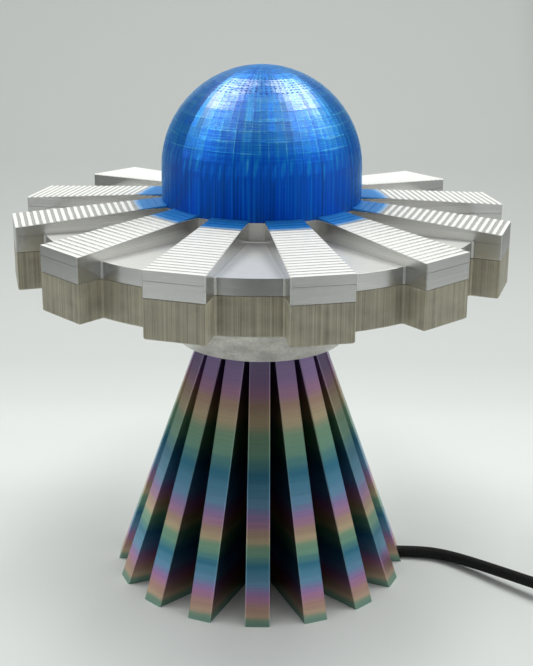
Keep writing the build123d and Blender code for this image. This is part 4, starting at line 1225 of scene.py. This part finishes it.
class LAMP_OT_stage(LampPieces, bpy.types.Operator):
    """Sets up the floor, the backdrop, the lights and the camera"""

    bl_idname = "lamp.stage"
    bl_label = "Stage"

    def execute(self, context):
        scene = context.scene
        scene.view_settings.view_transform = "Standard"
        self.sweep(scene.lamp_colours)
        self.room(scene)
        self.boxes()
        self.camera(scene)
        return {"FINISHED"}

    def sweep(self, colours):
        """A level floor that bends up into a backdrop. Its UV holds the way across and along the paper
        in metres from the lamp's axis."""
        bend = np.linspace(0, math.pi / 2, PAPER_POINTS)
        start = [PAPER_NEAR, 0.0]
        top = PAPER_FAR + PAPER_BEND * math.pi / 2 + PAPER_HIGH - PAPER_BEND
        y = np.concatenate([start, PAPER_FAR + PAPER_BEND * np.sin(bend), [PAPER_FAR + PAPER_BEND]])
        z = np.concatenate([[0.0, 0.0], PAPER_BEND - PAPER_BEND * np.cos(bend), [PAPER_HIGH]])
        way = np.concatenate([start, PAPER_FAR + PAPER_BEND * bend, [top]])
        sides = (-PAPER_HALF, PAPER_HALF)
        uv = np.stack([np.column_stack([np.full_like(y, x), way]) for x in sides], axis=1)
        shell = Shell(sections(*[(x, y, z) for x in sides]), uv=uv)
        obj = new_object("sweep", shell_mesh("sweep", [shell], [self.paper(colours)]))

    def paper(self, colours):
        """Paper that is pale near the lamp and greyer further up, a painted falloff of the light. It has a
        painted shadow close to the lamp's foot, and painted shade on the areas beside the view and before
        it that the lamp reflects, standing in for the dim room around the set."""
        made, tree, shader = material("paper", Roughness=0.85)
        across, along, _ = parts(unrolled(tree))
        apart = across.math("ABSOLUTE")

        def share(way):
            """The way along the paper as a place among its tones."""
            return way * 0.6 + 0.15

        tones = [(share(way), tint(colours.stage, level)) for way, level in PAPER_TONES]
        # Painted shade: darker areas beside the view, behind it on the right and before it, for the lamp
        # to reflect
        left = step(across, -0.75, -0.40, 0.25, 1.0)
        right = step(across, 0.42, 0.62, 1.0, 0.50)
        corner = step(along, 0.35, 0.55) * step(across, 0.29, 0.40)
        painted_front_shade = fall(along, -0.58, -0.32) * fall(apart, 0.22, 0.34)
        # Painted shadow: the paper darkens close to the lamp's foot
        reach = ((along * 0.75 - 0.0225).math("POWER", 2.0) + across * across).math("POWER", 0.5)
        foot = fall(reach, 0.08, 0.17) * step(apart, 0.02, 0.09, 0.0, -0.17)
        dim = left * right * (corner * -0.40 + 1.0) * (painted_front_shade * -0.92 + 1.0) * (foot + 0.97)
        feed(shader, Base_Color=dimmed(ramp(share(along), tones), dim))
        behind = out(node(tree, "ShaderNodeNewGeometry"), "Backfacing")
        nothing = out(node(tree, "ShaderNodeBsdfTransparent"))
        surface = feed(node(tree, "ShaderNodeMixShader"), behind, out(shader), nothing)
        feed(tree.nodes["Material Output"], Surface=out(surface))
        return made

    def room(self, scene):
        """A pale room that is brighter on the right, overhead and high at both sides, dimmer between
        these, and dark behind the camera."""
        scene.world = bpy.data.worlds.new("studio")
        scene.world.use_nodes = True
        tree = scene.world.node_tree
        way = out(node(tree, "ShaderNodeTexCoord"), "Generated")

        def toward(direction):
            made = node(tree, "ShaderNodeVectorMath", operation="DOT_PRODUCT")
            return out(feed(made, way, direction), "Value")

        side, up = toward((1.0, 0.0, 0.0)), toward((0.0, 0.0, 1.0))
        apart = side.math("ABSOLUTE")
        walls = ramp(side * 0.5 + 0.5, [(share, (level,) * 3) for share, level in ROOM_TONES])
        dim = step(toward((0.0, -0.98, 0.17)), 0.55, 0.95, 1.0, 0.30)
        overhead = step(up, 0.25, 1.0, 1.0, 1.9)
        wing = step(apart, 0.35, 0.65) * step(up, 0.30, 0.55)
        gap = fall(apart, 0.12, 0.40) * step(up, 0.4, 0.7)
        dim = dim * overhead * (wing * 0.7 + 1.0) * (gap * -0.45 + 1.0)
        feed(tree.nodes["Background"], Color=dimmed(walls, dim), Strength=ROOM_STRENGTH)

    def boxes(self):
        """Two wide softboxes high at the sides."""
        for name, side in (("left_box", -1), ("right_box", 1)):
            lamp = bpy.data.lights.new(name, "AREA")
            lamp.shape = "RECTANGLE"
            lamp.size, lamp.size_y = BOX_SIZE
            lamp.energy = BOX_POWER
            lamp.color = BOX_COLOUR
            obj = new_object(name, lamp)
            x, y, z = BOX_PLACE
            obj.location = (x * side, y, z)
            aim = Vector(BOX_AIM) - obj.location
            obj.rotation_euler = aim.to_track_quat("-Z", "Y").to_euler()

    def camera(self, scene):
        """A pinhole camera with the photograph's place, tilt and focal length."""
        data = bpy.data.cameras.new("camera")
        data.sensor_fit = "HORIZONTAL"
        data.sensor_width = SENSOR_WIDTH
        data.lens = FOCAL_LENGTH * SENSOR_WIDTH / IMAGE_WIDTH
        data.clip_end = 50.0
        yaw, pitch, roll = (math.radians(a) for a in CAMERA_ANGLES)
        turn = Matrix.Rotation(-yaw, 4, "Z") @ Matrix.Rotation(math.pi / 2 - pitch, 4, "X")
        scene.camera = new_object("camera", data)
        spot = Matrix.Translation(Vector(CAMERA_PLACE) * MM)
        scene.camera.matrix_world = spot @ turn @ Matrix.Rotation(roll, 4, "Z")


class LAMP_PT_panel(bpy.types.Panel):
    """Lists the lamp's pieces"""

    bl_label = "Saucer lamp"
    bl_idname = "LAMP_PT_panel"
    bl_space_type = "VIEW_3D"
    bl_region_type = "UI"
    bl_category = "Lamp"

    def draw(self, context):
        scene = context.scene
        for operator in OPERATORS:
            self.layout.operator(operator.bl_idname)
        for group in (scene.lamp_base, scene.lamp_saucer, scene.lamp_colours):
            box = self.layout.box()
            for key in group.__annotations__:
                box.prop(group, key)


OPERATORS = (
    LAMP_OT_groups,
    LAMP_OT_base,
    LAMP_OT_clear,
    LAMP_OT_top,
    LAMP_OT_dome,
    LAMP_OT_inside,
    LAMP_OT_cord,
    LAMP_OT_stage,
)
CLASSES = (LampBaseSizes, LampSaucerSizes, LampColours, *OPERATORS, LAMP_PT_panel)


def register():
    for cls in CLASSES:
        bpy.utils.register_class(cls)
    bpy.types.Scene.lamp_base = PointerProperty(type=LampBaseSizes)
    bpy.types.Scene.lamp_saucer = PointerProperty(type=LampSaucerSizes)
    bpy.types.Scene.lamp_colours = PointerProperty(type=LampColours)


def unregister():
    del bpy.types.Scene.lamp_base
    del bpy.types.Scene.lamp_saucer
    del bpy.types.Scene.lamp_colours
    for cls in reversed(CLASSES):
        bpy.utils.unregister_class(cls)


def main():
    register()
    bpy.ops.lamp.groups()
    bpy.ops.lamp.base()
    bpy.ops.lamp.clear()
    bpy.ops.lamp.top()
    bpy.ops.lamp.dome()
    bpy.ops.lamp.inside()
    bpy.ops.lamp.cord()
    bpy.ops.lamp.stage()


if __name__ == "__main__":
    main()
